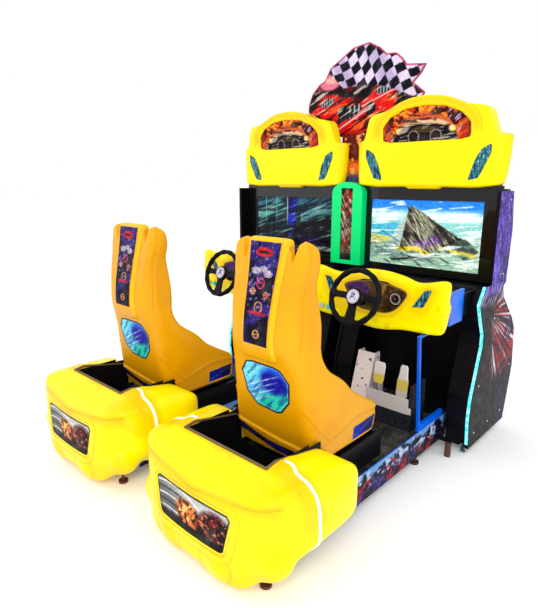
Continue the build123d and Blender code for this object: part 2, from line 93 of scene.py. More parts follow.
POD_BAND = mm([
    (-812, 472), (-824, 452), (-831, 420), (-831, 380), (-829, 320), (-825, 240), (-818, 160), (-840, 100),
    (-880, 48)])
POD_WINDOW = mm([(0, 326), (205, 332), (221, 316), (190, 178), (176, 168), (0, 166)])
SEAT_SIDE = mm([
    (-560, 300), (-590, 300), (-599, 322), (-640, 430), (-655, 533), (-670, 681), (-690, 760), (-722, 845),
    (-708, 960), (-682, 1080), (-660, 1180), (-646, 1262), (-632, 1284), (-600, 1277), (-560, 1245),
    (-548, 1180), (-556, 1110), (-548, 1040), (-545, 900), (-545, 800), (-505, 728), (-400, 660), (-330, 585),
    (-220, 520), (-112, 463), (-126, 300)])
SEAT_FRONT = mm([
    (228, 300), (245, 400), (250, 500), (250, 620), (238, 723), (228, 800), (208, 950), (188, 1060),
    (186, 1110), (200, 1160), (202, 1240), (170, 1268), (100, 1285)])
SEAT_PLAN = mm([
    (110, -725), (150, -705), (190, -662), (222, -605), (245, -500), (250, -400), (250, -200), (235, -100)])
SCOOP_SIDE = mm([
    (-560, 460), (-578, 560), (-600, 640), (-636, 760), (-666, 860), (-655, 980), (-632, 1100), (-608, 1190),
    (-590, 1240), (-570, 1320), (0, 1320), (0, 470), (-90, 466), (-300, 446)])
SCOOP_FRONT = mm([
    (178, 430), (192, 520), (196, 600), (186, 700), (172, 800), (152, 950), (134, 1060), (132, 1110),
    (142, 1160), (142, 1320)])
MARQUEE_FRONT = mm([
    (0, 1450), (96, 1450), (108, 1463), (300, 1459), (425, 1474), (440, 1486), (450, 1540), (458, 1640),
    (462, 1730), (398, 1738), (385, 1768), (358, 1852), (335, 1873), (230, 1891), (150, 1928), (80, 1947),
    (0, 1953)])
MARQUEE_SIDE = mm([
    (652, 1445), (640, 1600), (640, 1735), (612, 1900), (605, 1955), (640, 1965), (722, 1965), (722, 1445)])
MARQUEE_PLAN = mm([(0, 600), (300, 606), (400, 634), (462, 682), (470, 730), (0, 730)])
MARQUEE_WINDOW = mm([(266, 1712), (262, 1800), (215, 1850), (120, 1890), (0, 1902)])
MARQUEE_LENS = mm([(318, 1512), (262, 1500), (290, 1590), (322, 1655), (374, 1684), (376, 1640)])
DASH_FRONT = mm([
    (0, 1042), (68, 1039), (163, 1023), (230, 999), (282, 1003), (376, 1027), (409, 1018), (401, 916),
    (413, 902), (392, 767), (372, 750), (303, 742), (182, 743), (62, 718), (0, 712)])
DASH_SIDE = mm([(205, 705), (190, 760), (190, 985), (212, 1050), (246, 1050), (246, 705)])
INSTRUMENT = mm([(0, 984), (70, 976), (192, 950), (192, 918), (112, 818), (0, 812)])
DASH_LENS = mm([(324, 974), (286, 968), (225, 875), (286, 885)])
TOPPER = mm([
    (-449, 1962), (-446, 2007), (-418, 2071), (-361, 2125), (-310, 2147), (-271, 2216), (-189, 2262),
    (-93, 2314), (20, 2328), (95, 2289), (146, 2245), (210, 2240), (252, 2208), (283, 2168), (409, 2153),
    (381, 2106), (335, 2060), (411, 1999), (380, 1930), (300, 1850), (120, 1770), (-65, 1759), (-220, 1790),
    (-380, 1860)])


# ---------------------------------------------------------------- distance fields
def poly(points, a, b):
    """Signed distance from points (a, b) to a closed outline, negative inside."""
    p = np.array(points, float)
    best = np.full(np.broadcast(a, b).shape, 1e9)
    inside = np.zeros(best.shape, bool)
    for (x0, y0), (x1, y1) in zip(p, np.roll(p, -1, axis=0)):
        ex, ey = x1 - x0, y1 - y0
        wx, wy = a - x0, b - y0
        t = np.clip((wx * ex + wy * ey) / (ex * ex + ey * ey + 1e-15), 0, 1)
        best = np.minimum(best, (wx - ex * t) ** 2 + (wy - ey * t) ** 2)
        if y0 != y1:
            hit = ((y0 <= b) != (y1 <= b)) & (a < x0 + (b - y0) * ex / ey)
            inside ^= hit
    return np.where(inside, -np.sqrt(best), np.sqrt(best))


def smin(a, b, k):
    h = np.clip(0.5 + 0.5 * (b - a) / k, 0, 1)
    return b * (1 - h) + a * h - k * h * (1 - h)


def smax(a, b, k):
    return -smin(-a, -b, k)


def ridge(d, width):
    return np.clip(1 - np.abs(d) / width, 0, 1)


def rise(d, width):
    return np.clip(d / width, 0, 1)


def box3(x, y, z, lo, hi, r=0.0):
    c = [(lo[i] + hi[i]) / 2 for i in range(3)]
    s = [(hi[i] - lo[i]) / 2 - r for i in range(3)]
    q = [np.abs(v - c[i]) - s[i] for i, v in enumerate((x, y, z))]
    out = np.sqrt(sum(np.maximum(v, 0) ** 2 for v in q))
    return out + np.minimum(np.maximum(np.maximum(q[0], q[1]), q[2]), 0) - r


def capsule(x, y, z, a, b, r):
    a, b = np.array(a), np.array(b)
    e = b - a
    w = (x - a[0], y - a[1], z - a[2])
    t = np.clip((w[0] * e[0] + w[1] * e[1] + w[2] * e[2]) / (e @ e), 0, 1)
    return np.sqrt(sum((w[i] - e[i] * t) ** 2 for i in range(3))) - r


def colour(mesh, rgb):
    """Stores a display colour per point; rgb runs 0 to 1 as seen on a screen."""
    rgba = np.ones((len(mesh.vertices), 4))
    rgba[:, :3] = np.clip(rgb, 0, 1) ** 2.2
    layer = mesh.color_attributes.new(name="paint", type="FLOAT_COLOR", domain="POINT")
    layer.data.foreach_set("color", rgba.astype(np.float32).ravel())


def solid(name, field, lo, hi, step, paint=None):
    """The mesh of the surface where the field is zero."""
    axes = [np.arange(lo[i] - 3 * step, hi[i] + 4 * step, step) for i in range(3)]
    x, y, z = np.meshgrid(*axes, indexing="ij", sparse=True)
    d = np.broadcast_to(field(x, y, z), [len(v) for v in axes])
    band = 4 * step
    grid = vdb.FloatGrid(band)
    grid.copyFromArray(np.ascontiguousarray(np.clip(d, -band, band), dtype=np.float32))
    pts, quads = grid.convertToQuads(0.0)
    pts = pts * step + np.array([v[0] for v in axes])
    mesh = bpy.data.meshes.new(name)
    mesh.from_pydata(pts.tolist(), [], quads.tolist())
    mesh.update()
    bm = bmesh.new()
    bm.from_mesh(mesh)
    if bm.calc_volume(signed=True) < 0:
        bmesh.ops.reverse_faces(bm, faces=bm.faces)
    bm.to_mesh(mesh)
    bm.free()
    mesh.shade_smooth()
    if paint:
        co = np.empty(len(mesh.vertices) * 3)
        mesh.vertices.foreach_get("co", co)
        colour(mesh, paint(*co.reshape(-1, 3).T))
    return mesh


# ---------------------------------------------------------------- painted sheets
def snap(points, a, b):
    """The closest spot on a closed outline for each point."""
    p = np.array(points, float)
    best = np.full(a.shape, 1e9)
    na, nb = a.copy(), b.copy()
    for (x0, y0), (x1, y1) in zip(p, np.roll(p, -1, axis=0)):
        ex, ey = x1 - x0, y1 - y0
        t = np.clip(((a - x0) * ex + (b - y0) * ey) / (ex * ex + ey * ey + 1e-15), 0, 1)
        qa, qb = x0 + ex * t, y0 + ey * t
        d = (a - qa) ** 2 + (b - qb) ** 2
        near = d < best
        best = np.where(near, d, best)
        na, nb = np.where(near, qa, na), np.where(near, qb, nb)
    return na, nb


def sheet(name, outline, step, lift, paint):
    """A fine grid cut to an outline, carried to its place by lift and coloured by paint."""
    p = np.array(outline, float)
    lo, hi = p.min(0) - step, p.max(0) + step
    n = ((hi - lo) / step).astype(int) + 2
    a, b = np.meshgrid(lo[0] + step * np.arange(n[0]), lo[1] + step * np.arange(n[1]), indexing="ij")
    inside = poly(outline, a, b) < 0
    cell = inside[:-1, :-1] | inside[1:, :-1] | inside[:-1, 1:] | inside[1:, 1:]
    ids = np.arange(n[0] * n[1]).reshape(n)
    quads = np.stack([ids[:-1, :-1][cell], ids[1:, :-1][cell], ids[1:, 1:][cell], ids[:-1, 1:][cell]], 1)
    used, flat = np.unique(quads, return_inverse=True)
    a, b, keep = a.ravel()[used], b.ravel()[used], inside.ravel()[used]
    sa, sb = snap(outline, a, b)
    a, b = np.where(keep, a, sa), np.where(keep, b, sb)
    mesh = bpy.data.meshes.new(name)
    place = np.stack(np.broadcast_arrays(*lift(a, b)), 1)
    mesh.from_pydata(place.tolist(), [], flat.reshape(-1, 4).tolist())
    mesh.update()
    mesh.shade_smooth()
    colour(mesh, paint(a, b))
    return mesh


def flat(y):
    """Carries a sheet to just in front of the plane at y."""
    return lambda a, b: (a, y - FILM, b)


def onto(field, axis, start, sign, above):
    """Carries a sheet along one axis until it rests just above a field's surface."""
    def lift(a, b):
        run = np.full(a.shape, float(start))
        for _ in range(70):
            place = [a, b]
            place.insert(axis, run)
            run = run + sign * 0.8 * np.maximum(field(*place) - above, 0)
        place = [a, b]
        place.insert(axis, run)
        return place
    return lift


RNG = np.random.default_rng(11)
LATTICE = RNG.random((96, 96))


def value(a, b):
    ia, ib = np.floor(a).astype(int), np.floor(b).astype(int)
    fa, fb = a - ia, b - ib
    fa, fb = fa * fa * (3 - 2 * fa), fb * fb * (3 - 2 * fb)
    g = [[LATTICE[(ia + i) % 96, (ib + j) % 96] for j in (0, 1)] for i in (0, 1)]
    low = g[0][0] * (1 - fa) + g[1][0] * fa
    high = g[0][1] * (1 - fa) + g[1][1] * fa
    return low * (1 - fb) + high * fb


def fbm(a, b, scale, octaves=4, seed=0):
    total, weight = 0.0, 0.0
    for k in range(octaves):
        w = 0.6 ** k
        f = scale * 2 ** k
        total = total + w * value(a * f + 17.3 * seed + 5 * k, b * f + 9.1 * seed + 3 * k)
        weight += w
    return total / weight


def tint(shape, rgb):
    return np.broadcast_to(np.array(rgb, float), (*np.shape(shape), 3)).copy()


def over(base, rgb, mask):
    m = np.clip(mask, 0, 1)[..., None]
    return base * (1 - m) + np.array(rgb, float) * m


def layers(rgb, coats):
    """Lays each (colour, mask) pair over the last."""
    for tone, mask in coats:
        rgb = over(rgb, tone, mask)
    return rgb


def below(d, soft=0.002):
    return np.clip(0.5 - d / soft, 0, 1)


def line(d, half, soft):
    """A drawn line where d is near zero."""
    return below(np.abs(d) - half, soft)


def above(v, edge, soft=0.04):
    return np.clip((v - edge) / soft + 0.5, 0, 1)


def seg(a, b, p, q):
    ex, ey = q[0] - p[0], q[1] - p[1]
    t = np.clip(((a - p[0]) * ex + (b - p[1]) * ey) / (ex * ex + ey * ey), 0, 1)
    return np.hypot(a - p[0] - ex * t, b - p[1] - ey * t)


def streak(a, b, slope, scale, seed=0):
    """Noise drawn out along a slope."""
    return fbm(b - slope * a, 0.12 * (a + slope * b), scale, 3, seed)


def oval(a, b, centre, radii, soft):
    return below(np.hypot((a - centre[0]) / radii[0], (b - centre[1]) / radii[1]) - 1, soft)


def spots(edge, soft, *noise):
    return above(fbm(*noise), edge, soft)


def strokes(edge, soft, *noise):
    return above(streak(*noise), edge, soft)


def crisp(rgb, a, b, amount=0.25, scale=260.0):
    """Fine light and dark flecks, like a busy printed picture."""
    f = fbm(a, b, scale, 2, 3) - 0.5
    return rgb + amount * f[..., None]


# ---------------------------------------------------------------- pieces
def put(name, mesh, body, mat=None, at=(0, 0, 0)):
    o = bpy.data.objects.new(name, mesh)
    bpy.context.scene.collection.objects.link(o)
    o.location = at
    if mat is not None and not len(mesh.materials):
        mesh.materials.append(mat)
    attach(o, body)
    return o


def both(name, mesh, body, mat, node=None):
    """The same piece in both units; body and node take the unit's name where they end in an underscore."""
    for unit, ux, side in UNITS:
        where = body + unit if body.endswith("_") else body
        o = put(name + "_" + unit, mesh, where, mat, (ux, 0, 0))
        if node:
            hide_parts(node + unit if node.endswith("_") else node)


# ---------------------------------------------------------------- materials
class Graph:
    def __init__(self, name):
        self.mat = bpy.data.materials.new(name)
        self.mat.use_nodes = True
        self.nt = self.mat.node_tree
        self.bsdf = self.nt.nodes["Principled BSDF"]
        self.place = self.node("ShaderNodeTexCoord").outputs["Object"]

    def node(self, kind, **props):
        n = self.nt.nodes.new(kind)
        for k, v in props.items():
            setattr(n, k, v)
        return n

    def join(self, value, socket):
        if hasattr(value, "is_output"):
            self.nt.links.new(value, socket)
        else:
            socket.default_value = value

    def paint(self):
        return self.node("ShaderNodeVertexColor", layer_name="paint").outputs["Color"]

    def noise(self, scale, detail=4.0, rough=0.55, stretch=None):
        n = self.node("ShaderNodeTexNoise")
        place = self.place
        if stretch:
            m = self.node("ShaderNodeMapping")
            m.inputs["Scale"].default_value = stretch
            self.join(place, m.inputs["Vector"])
            place = m.outputs["Vector"]
        self.join(place, n.inputs["Vector"])
        n.inputs["Scale"].default_value = scale
        n.inputs["Detail"].default_value = detail
        n.inputs["Roughness"].default_value = rough
        return n.outputs["Fac"]

    def ramp(self, fac, *stops):
        n = self.node("ShaderNodeValToRGB")
        self.join(fac, n.inputs["Fac"])
        e = n.color_ramp.elements
        while len(e) < len(stops):
            e.new(0.5)
        for el, (pos, col) in zip(e, stops):
            el.position = pos
            el.color = (col, col, col, 1) if isinstance(col, float) else (*col, 1)
        return n.outputs["Color"]

    def wear(self, scale, low, high, top=0.7):
        """Roughness that runs from low to high in patches."""
        return self.ramp(self.noise(scale), (0.3, low), (top, high))

    def mix(self, fac, a, b):
        n = self.node("ShaderNodeMix", data_type="RGBA", blend_type="MIX")
        self.join(fac, n.inputs[0])
        for value, socket in ((a, n.inputs[6]), (b, n.inputs[7])):
            self.join((*value, 1) if isinstance(value, tuple) else value, socket)
        return n.outputs[2]

    def math(self, op, a, b=0.0):
        n = self.node("ShaderNodeMath", operation=op)
        self.join(a, n.inputs[0])
        self.join(b, n.inputs[1])
        return n.outputs[0]

    def axis(self, which):
        n = self.node("ShaderNodeSeparateXYZ")
        self.join(self.place, n.inputs[0])
        return n.outputs[which]

    def bump(self, height, strength=0.1, distance=0.001):
        n = self.node("ShaderNodeBump")
        n.inputs["Strength"].default_value = strength
        n.inputs["Distance"].default_value = distance
        self.join(height, n.inputs["Height"])
        self.join(n.outputs["Normal"], self.bsdf.inputs["Normal"])

    def set(self, **values):
        names = {"color": "Base Color", "rough": "Roughness", "metal": "Metallic", "coat": "Coat Weight",
                 "spec": "Specular IOR Level", "coat_rough": "Coat Roughness", "glow": "Emission Color",
                 "power": "Emission Strength"}
        for k, v in values.items():
            if isinstance(v, tuple):
                v = (*v, 1)
            self.join(v, self.bsdf.inputs[names[k]])
        return self.mat


def moulded(name, shade, rough=0.3, coat=0.12, tone=None):
    """Gloss gel-coat moulding: the tone drifts to a shade in patches, faint orange peel and scuffs."""
    g = Graph(name)
    tone = tone or g.paint()
    drift = g.ramp(g.noise(5.0, 3.0), (0.35, 0.0), (0.75, 1.0))
    color = g.mix(g.math("MULTIPLY", drift, 0.22), tone, shade)
    specks = g.ramp(g.noise(260.0, 2.0), (0.66, 0.0), (0.72, 1.0))
    color = g.mix(g.math("MULTIPLY", specks, 0.12), color, shade)
    scuff = g.ramp(g.noise(22.0, 6.0, 0.7), (0.5, rough), (0.8, rough + 0.22))
    g.bump(g.noise(420.0, 2.0), 0.06, 0.0006)
    return g.set(color=color, rough=scuff, coat=coat, coat_rough=0.08, spec=0.15)


def printed(name, rough=0.4, coat=0.0, glow=0.0):
    """A printed film over its backing: handling haze, fine grain and faded spots."""
    g = Graph(name)
    ink = g.paint()
    faded = g.ramp(g.noise(14.0, 5.0), (0.5, 0.0), (0.85, 0.08))
    color = g.mix(faded, ink, (0.6, 0.6, 0.6))
    g.bump(g.noise(700.0, 2.0), 0.05, 0.0003)
    haze = g.ramp(g.noise(30.0, 6.0, 0.7), (0.35, rough - 0.1), (0.8, rough + 0.2))
    return g.set(color=color, rough=haze, coat=coat, coat_rough=0.1, spec=0.08, glow=ink, power=glow)


def metal(name, tone, rough=0.3, grain=(1, 1, 60), dirt=0.3, metallic=0.75):
    g = Graph(name)
    lines = g.noise(40.0, 6.0, 0.7, grain)
    grime = g.ramp(g.noise(9.0), (0.45, 0.0), (0.75, dirt))
    dark = tuple(c * 0.45 for c in tone)
    color = g.mix(grime, g.mix(lines, tone, tuple(c * 0.8 for c in tone)), dark)
    g.bump(lines, 0.12, 0.0004)
    return g.set(color=color, rough=g.ramp(lines, (0.3, rough - 0.08), (0.7, rough + 0.14)), metal=metallic)


def coated(name, tone, rough=0.4, coat=0.0):
    """Powder coat or laminate: fine texture, dusty patches and a few pale nicks."""
    g = Graph(name)
    dust = g.ramp(g.noise(4.0, 5.0), (0.4, 0.0), (0.85, 0.3))
    color = g.mix(dust, tone, tuple(c * 1.35 + 0.002 for c in tone))
    nicks = g.ramp(g.noise(75.0, 3.0, 0.6), (0.72, 0.0), (0.8, 0.3))
    color = g.mix(nicks, color, tuple(c * 1.5 + 0.008 for c in tone))
    g.bump(g.noise(600.0, 2.0), 0.1, 0.0004)
    return g.set(color=color, rough=g.wear(30.0, rough - 0.08, rough + 0.15, 0.8), coat=coat, spec=0.12)


def speckled(name, dark, pale, scale=210.0, cut=0.52):
    """Tread plate or flecked liner: small pale lozenges on a dark ground."""
    g = Graph(name)
    fleck = g.ramp(g.noise(scale, 2.0, 0.6), (cut, 0.0), (cut + 0.05, 1.0))
    patch = g.ramp(g.noise(12.0, 3.0), (0.4, 0.25), (0.6, 1.0))
    color = g.mix(g.math("MULTIPLY", fleck, patch), dark, pale)
    g.bump(fleck, 0.4, 0.001)
    return g.set(color=color, rough=g.wear(40.0, 0.3, 0.5, 0.8), metal=0.3)


def lit(name, core, edge, power):
    """A light diffuser: brighter core, tinted mottling and a soft skin."""
    g = Graph(name)
    blotch = g.ramp(g.noise(45.0, 3.0), (0.4, 0.0), (0.62, 1.0))
    tone = g.mix(blotch, core, edge)
    g.bump(g.noise(300.0, 2.0), 0.1, 0.0005)
    return g.set(color=tone, rough=g.wear(60.0, 0.25, 0.45), glow=tone, power=power)


YELLOW = moulded("yellow_gelcoat", (1.0, 0.58, 0.0))
AMBER = moulded("amber_gelcoat", (0.78, 0.3, 0.0), 0.35, 0.15)
GREEN = moulded("green_gelcoat", (0.0, 0.6, 0.2), 0.3, 0.12, (0.0, 0.88, 0.22))
PRINT = printed("printed_film")
SCREEN = printed("screen_picture", 0.2, 0.1, 0.5)
BLACK_BOARD = coated("black_laminate", (0.002, 0.002, 0.004), 0.35)
BLUE = coated("blue_powdercoat", (0.0, 0.11, 0.75), 0.3, 0.4)
BLACK_STEEL = coated("black_powdercoat", (0.006, 0.006, 0.008), 0.35)
GRIP = coated("wheel_leather", (0.002, 0.0015, 0.004), 0.42)
BEZEL = coated("bezel_gloss", (0.003, 0.003, 0.004), 0.2, 0.5)
LINER = coated("tray_liner", (0.004, 0.0035, 0.004), 0.5)
STEEL = metal("brushed_steel", (0.8, 0.74, 0.73), 0.35, metallic=0.35)
BRIGHT = metal("bright_steel", (0.82, 0.82, 0.84), 0.25)
FOOT = metal("foot_brown", (0.12, 0.035, 0.02), 0.45, metallic=0.3)
PLATE = speckled("tread_plate", (0.006, 0.006, 0.007), (0.22, 0.22, 0.2))
TYRE = coated("caster_tyre", (0.02, 0.06, 0.07), 0.4)
CYAN_LIGHT = lit("cyan_diffuser", (0.3, 0.95, 1.0), (0.02, 0.6, 0.72), 0.55)
WHITE_LIGHT = lit("white_diffuser", (0.95, 1.0, 0.93), (0.55, 0.95, 0.7), 0.6)


def lens_material():
    g = Graph("lamp_lens")
    tone = g.ramp(g.noise(60.0, 3.0, 0.7, (1.6, 1.0, 0.5)), (0.36, (0.0, 0.0, 0.01)),
                  (0.46, (0.0, 0.02, 0.1)),
                  (0.53, (0.0, 0.3, 0.36)), (0.57, (0.01, 0.02, 0.05)), (0.66, (0.45, 0.62, 0.6)))
    g.bump(g.noise(120.0, 2.0), 0.3, 0.001)
    return g.set(color=tone, rough=g.wear(90.0, 0.1, 0.3), coat=0.2, spec=0.2)


def pedal_material():
    g = Graph("pedal_metal")
    lines = g.noise(40.0, 6.0, 0.7, (1, 1, 40))
    upper = g.ramp(g.axis(2), (0.425, 0.0), (0.44, 1.0))
    lower = g.ramp(g.axis(2), (0.36, 1.0), (0.385, 0.0))
    color = g.mix(upper, (0.8, 0.62, 0.1), (0.82, 0.78, 0.8))
    color = g.mix(lower, color, (0.62, 0.6, 0.55))
    g.bump(lines, 0.15, 0.0004)
    return g.set(color=color, rough=g.ramp(lines, (0.3, 0.3), (0.7, 0.5)), metal=0.3)


def pedal_box_material():
    g = Graph("pedal_box")
    front = g.math("LESS_THAN", g.axis(1), 0.2625)
    fleck = g.ramp(g.noise(110.0, 4.0, 0.6, (1, 1, 2.5)), (0.6, 0.0), (0.68, 0.8))
    pale = g.mix(fleck, (0.74, 0.68, 0.67), (0.16, 0.14, 0.13))
    dark = g.mix(g.ramp(g.noise(160.0, 3.0), (0.56, 0.0), (0.62, 1.0)), (0.006, 0.006, 0.01),
                 (0.1, 0.12, 0.18))
    high = g.math("GREATER_THAN", g.axis(2), 0.2515)
    color = g.mix(g.math("MULTIPLY", front, high), dark, pale)
    g.bump(fleck, 0.2, 0.0006)
    return g.set(color=color, rough=g.wear(50.0, 0.35, 0.55), metal=0.2)


def footrest_material():
    """Bare pressed steel with a few dark blots."""
    g = Graph("footrest_steel")
    marks = g.ramp(g.noise(34.0, 2.0, 0.5), (0.66, 0.0), (0.69, 1.0))
    color = g.mix(marks, g.mix(g.noise(8.0), (0.7, 0.62, 0.61), (0.86, 0.78, 0.77)), (0.03, 0.03, 0.03))
    g.bump(g.noise(300.0), 0.1, 0.0005)
    return g.set(color=color, rough=g.wear(50.0, 0.35, 0.55), metal=0.2, spec=0.2)


LENS = lens_material()
LENS_CYAN = moulded("button_cyan", (0.02, 0.35, 0.45), 0.2, 0.8, (0.05, 0.65, 0.75))
LENS_GREY = moulded("button_grey", (0.25, 0.27, 0.3), 0.2, 0.8, (0.55, 0.6, 0.65))
PEDAL = pedal_material()
PEDAL_BOX = pedal_box_material()
FOOTREST = footrest_material()


def give(node, mat, bevel=0.0):
    o = NODES[node]
    for s in o.material_slots:
        s.material = mat
    if bevel:
        m = o.modifiers.new("edge", "BEVEL")
        m.width = bevel
        m.segments = 2
        m.limit_method = "ANGLE"
        m.angle_limit = math.radians(40)
    return o


PURE_YELLOW = (1.0, 0.94, 0.0)
# Deeper yellow, used as painted shade on the yellow mouldings (and once for random mottling on the pod).
SHADED_YELLOW = (0.98, 0.77, 0.01)
# Dark amber, used as painted shade along creases, folds and recess edges.
CREASE_SHADE = (0.74, 0.5, 0.02)
SEAT_AMBER = (0.885, 0.625, 0.02)


# ---------------------------------------------------------------- tail pod
POD_RAIL_X = 0.243


def shelf_line(x):
    return 0.372 + 0.12 * np.abs(x)


def pod_field(x, y, z):
    plan = poly(whole(POD_PLAN, 1, 0.2), x, y)
    side = poly(rounded(POD_SIDE, 2, 0.2), y, z)
    rear = poly(whole(POD_REAR, 1, 0.2), x, z)
    d = smax(smax(plan, side, 0.03), rear, 0.02)
    window = poly(mirrored(POD_WINDOW), x, z)
    rim = ridge(window - 0.024, 0.016) * (y < -0.98)
    lip = ridge(z - shelf_line(x), 0.016) * (y < -0.9)
    d = d - 0.005 * rim - 0.006 * lip
    ax = np.abs(x)
    for cx, cy, cz, r in ((0.33, -0.965, 0.17, 0.085), (0.145, -1.01, 0.1, 0.09)):
        d = smin(d, np.sqrt((ax - cx) ** 2 + (y - cy) ** 2 + (z - cz) ** 2) - r, 0.015)
    well = box3(x, y, z, (-POD_RAIL_X, -0.905, -0.1), (POD_RAIL_X, 0.3, 0.9), 0.004)
    return smax(d, -well, 0.008)


def pod_paint(x, y, z):
    ax, rear = np.abs(x), above(-y, 0.98, 0.02)
    rgb = tint(x, PURE_YELLOW)
    # Painted shade: a deeper band across the pod near the light strip, the outer rear corners, the bottom, a
    # band under the shelf lip and a dark amber line under it; the spots are random mottling.
    rgb = layers(rgb, [
        (SHADED_YELLOW, line(y + 0.86, 0.055, 0.04) * above(z, 0.3, 0.3) * 0.9),
        (SHADED_YELLOW, above(ax, 0.34, 0.1) * above(-y, 1.0, 0.08) * 0.8),
        (SHADED_YELLOW, above(-z, -0.1, 0.14) * 0.8),
        (SHADED_YELLOW, below(shelf_line(x) - z - 0.05, 0.05) * above(shelf_line(x) - z, 0.0, 0.01) * rear),
        (SHADED_YELLOW, spots(0.55, 0.1, x + z, y + z, 6.0, 3, 4) * 0.5),
        (CREASE_SHADE, line(shelf_line(x) - z - 0.017, 0.002, 0.008) * rear * 0.8)])
    window = poly(mirrored(POD_WINDOW), x, z)
    # Painted shade: a dark amber line and a deeper yellow band round the window rim.
    rgb = over(rgb, CREASE_SHADE, line(window - 0.012, 0.002, 0.006) * rear)
    rgb = over(rgb, SHADED_YELLOW, line(window - 0.042, 0.006, 0.012) * rear)
    # Painted shade: a dark amber ring round the lower rear bump.
    foot = np.abs(np.hypot(ax - 0.145, z - 0.1) - 0.08)
    return over(rgb, CREASE_SHADE, below(foot - 0.002, 0.008) * rear * above(-z, -0.15, 0.03) * 0.5)


pod = solid("pod", pod_field, (-0.46, -1.1, 0.02), (0.46, -0.53, 0.49), 0.006, pod_paint)
both("tail_pod", pod, "cabinet", YELLOW, "pod_shell_")


def strip_field(x, y, z):
    band = poly(POD_BAND + [(y0 - 0.014, z0) for y0, z0 in reversed(POD_BAND)], y, z)
    skin = np.abs(pod_field(x, y, z) + 0.001) - 0.004
    return np.maximum(smax(skin, band, 0.003), 0.262 - np.abs(x))


strip = solid("pod_strip", strip_field, (-0.47, -0.9, 0.04), (0.47, -0.8, 0.49), 0.003)
both("pod_strip", strip, "cabinet", WHITE_LIGHT, "pod_light_strips")


def trim_field(x, y, z):
    top = ((-0.905, 0.462), (-0.85, 0.47), (-0.74, 0.446), (-0.608, 0.42), (-0.536, 0.376))
    ax = np.abs(x)
    d = capsule(ax, y, z, (0.0, -0.903, 0.462), (POD_RAIL_X, -0.903, 0.462), 0.006)
    for (y0, z0), (y1, z1) in zip(top[:-1], top[1:]):
        d = np.minimum(d, capsule(ax, y, z, (POD_RAIL_X - 0.002, y0, z0), (POD_RAIL_X - 0.002, y1, z1),
                                  0.006))
    return d


TRIM = coated("tray_trim", (0.16, 0.11, 0.06), 0.5)
trim = solid("tray_trim", trim_field, (-0.25, -0.91, 0.36), (0.25, -0.53, 0.48), 0.0035)
both("tray_trim", trim, "cabinet", TRIM)


def pod_window_paint(a, b):
    """A pale car flank over an orange crowd, falling into black."""
    u, v = a / 0.21, (b - 0.166) / 0.166
    rgb = over(tint(a, (0.36, 0.37, 0.38)), (0.7, 0.71, 0.7), above(v + 0.5 * u, 0.55, 0.5))
    for k in range(5):
        arc = np.abs(v - 0.95 + 0.16 * k + 0.35 * (u + 0.5) ** 2)
        rgb = over(rgb, (0.12, 0.12, 0.13) if k % 2 else (0.88, 0.88, 0.87),
                   below(arc - 0.018, 0.02) * above(-u, -0.3, 0.3))
    crowd = below(np.hypot((u - 0.05) / 0.42, (v - 0.42 + 0.3 * u) / 0.34) - 1, 0.3)
    f = fbm(a, b, 60.0, 3, 5)
    rgb = layers(rgb, [
        ((0.82, 0.44, 0.22), crowd),
        ((0.2, 0.07, 0.05), crowd * above(f, 0.52, 0.06)),
        ((0.97, 0.72, 0.42), crowd * spots(0.62, 0.05, a, b, 75.0, 2, 8))])
    dark = oval(u, v, (0.72, 0.36), (0.5, 0.5), 0.3)
    rgb = layers(rgb, [
        ((0.07, 0.04, 0.06), dark),
        ((0.46, 0.08, 0.12), dark * spots(0.55, 0.06, a * 2, b, 40.0, 3, 3)),
        ((0.75, 0.45, 0.3), dark * spots(0.64, 0.04, a, b * 2, 55.0, 3, 9)),
        ((0.05, 0.05, 0.06), above(-v + 0.2 * f, -0.12, 0.06))])
    edge = poly(mirrored(POD_WINDOW), a, b)
    return over(crisp(rgb, a, b, 0.25, 240.0), (0.04, 0.04, 0.04), below(-edge - 0.006, 0.003))


pod_art = sheet("pod_window", mirrored(POD_WINDOW), 0.004, onto(pod_field, 1, -1.2, 1.0, 0.0012),
                pod_window_paint)
both("pod_window", pod_art, "cabinet", PRINT, "pod_windows")


# ---------------------------------------------------------------- marquee
WINDOW = whole(MARQUEE_WINDOW, 1, 0.12)


def marquee_body(x, y, z):
    front = poly(whole(MARQUEE_FRONT, 1, 0.12), x, z)
    side = poly(rounded(MARQUEE_SIDE, 1, 0.2), y, z)
    plan = poly(whole(MARQUEE_PLAN, 1, 0.2), x, y)
    d = smax(smax(front, side, 0.01), plan, 0.02)
    arch = poly(WINDOW, x, z)
    swell = ridge(arch - 0.022, 0.03) * rise(z - 1.7, 0.03)
    return d - 0.004 * swell


def marquee_field(x, y, z):
    d = marquee_body(x, y, z)
    d = smax(d, -np.maximum(poly(WINDOW, x, z), -d - 0.007), 0.003)
    lens = poly(rounded(MARQUEE_LENS, 1), np.abs(x), z)
    d = smax(d, -np.maximum(lens - 0.003, -d - 0.006), 0.003)
    crease = np.abs(np.abs(x) - 0.41 - 0.1 * (z - 1.6))
    return d + 0.003 * np.clip(1 - crease / 0.006, 0, 1) * rise(1.73 - z, 0.03)


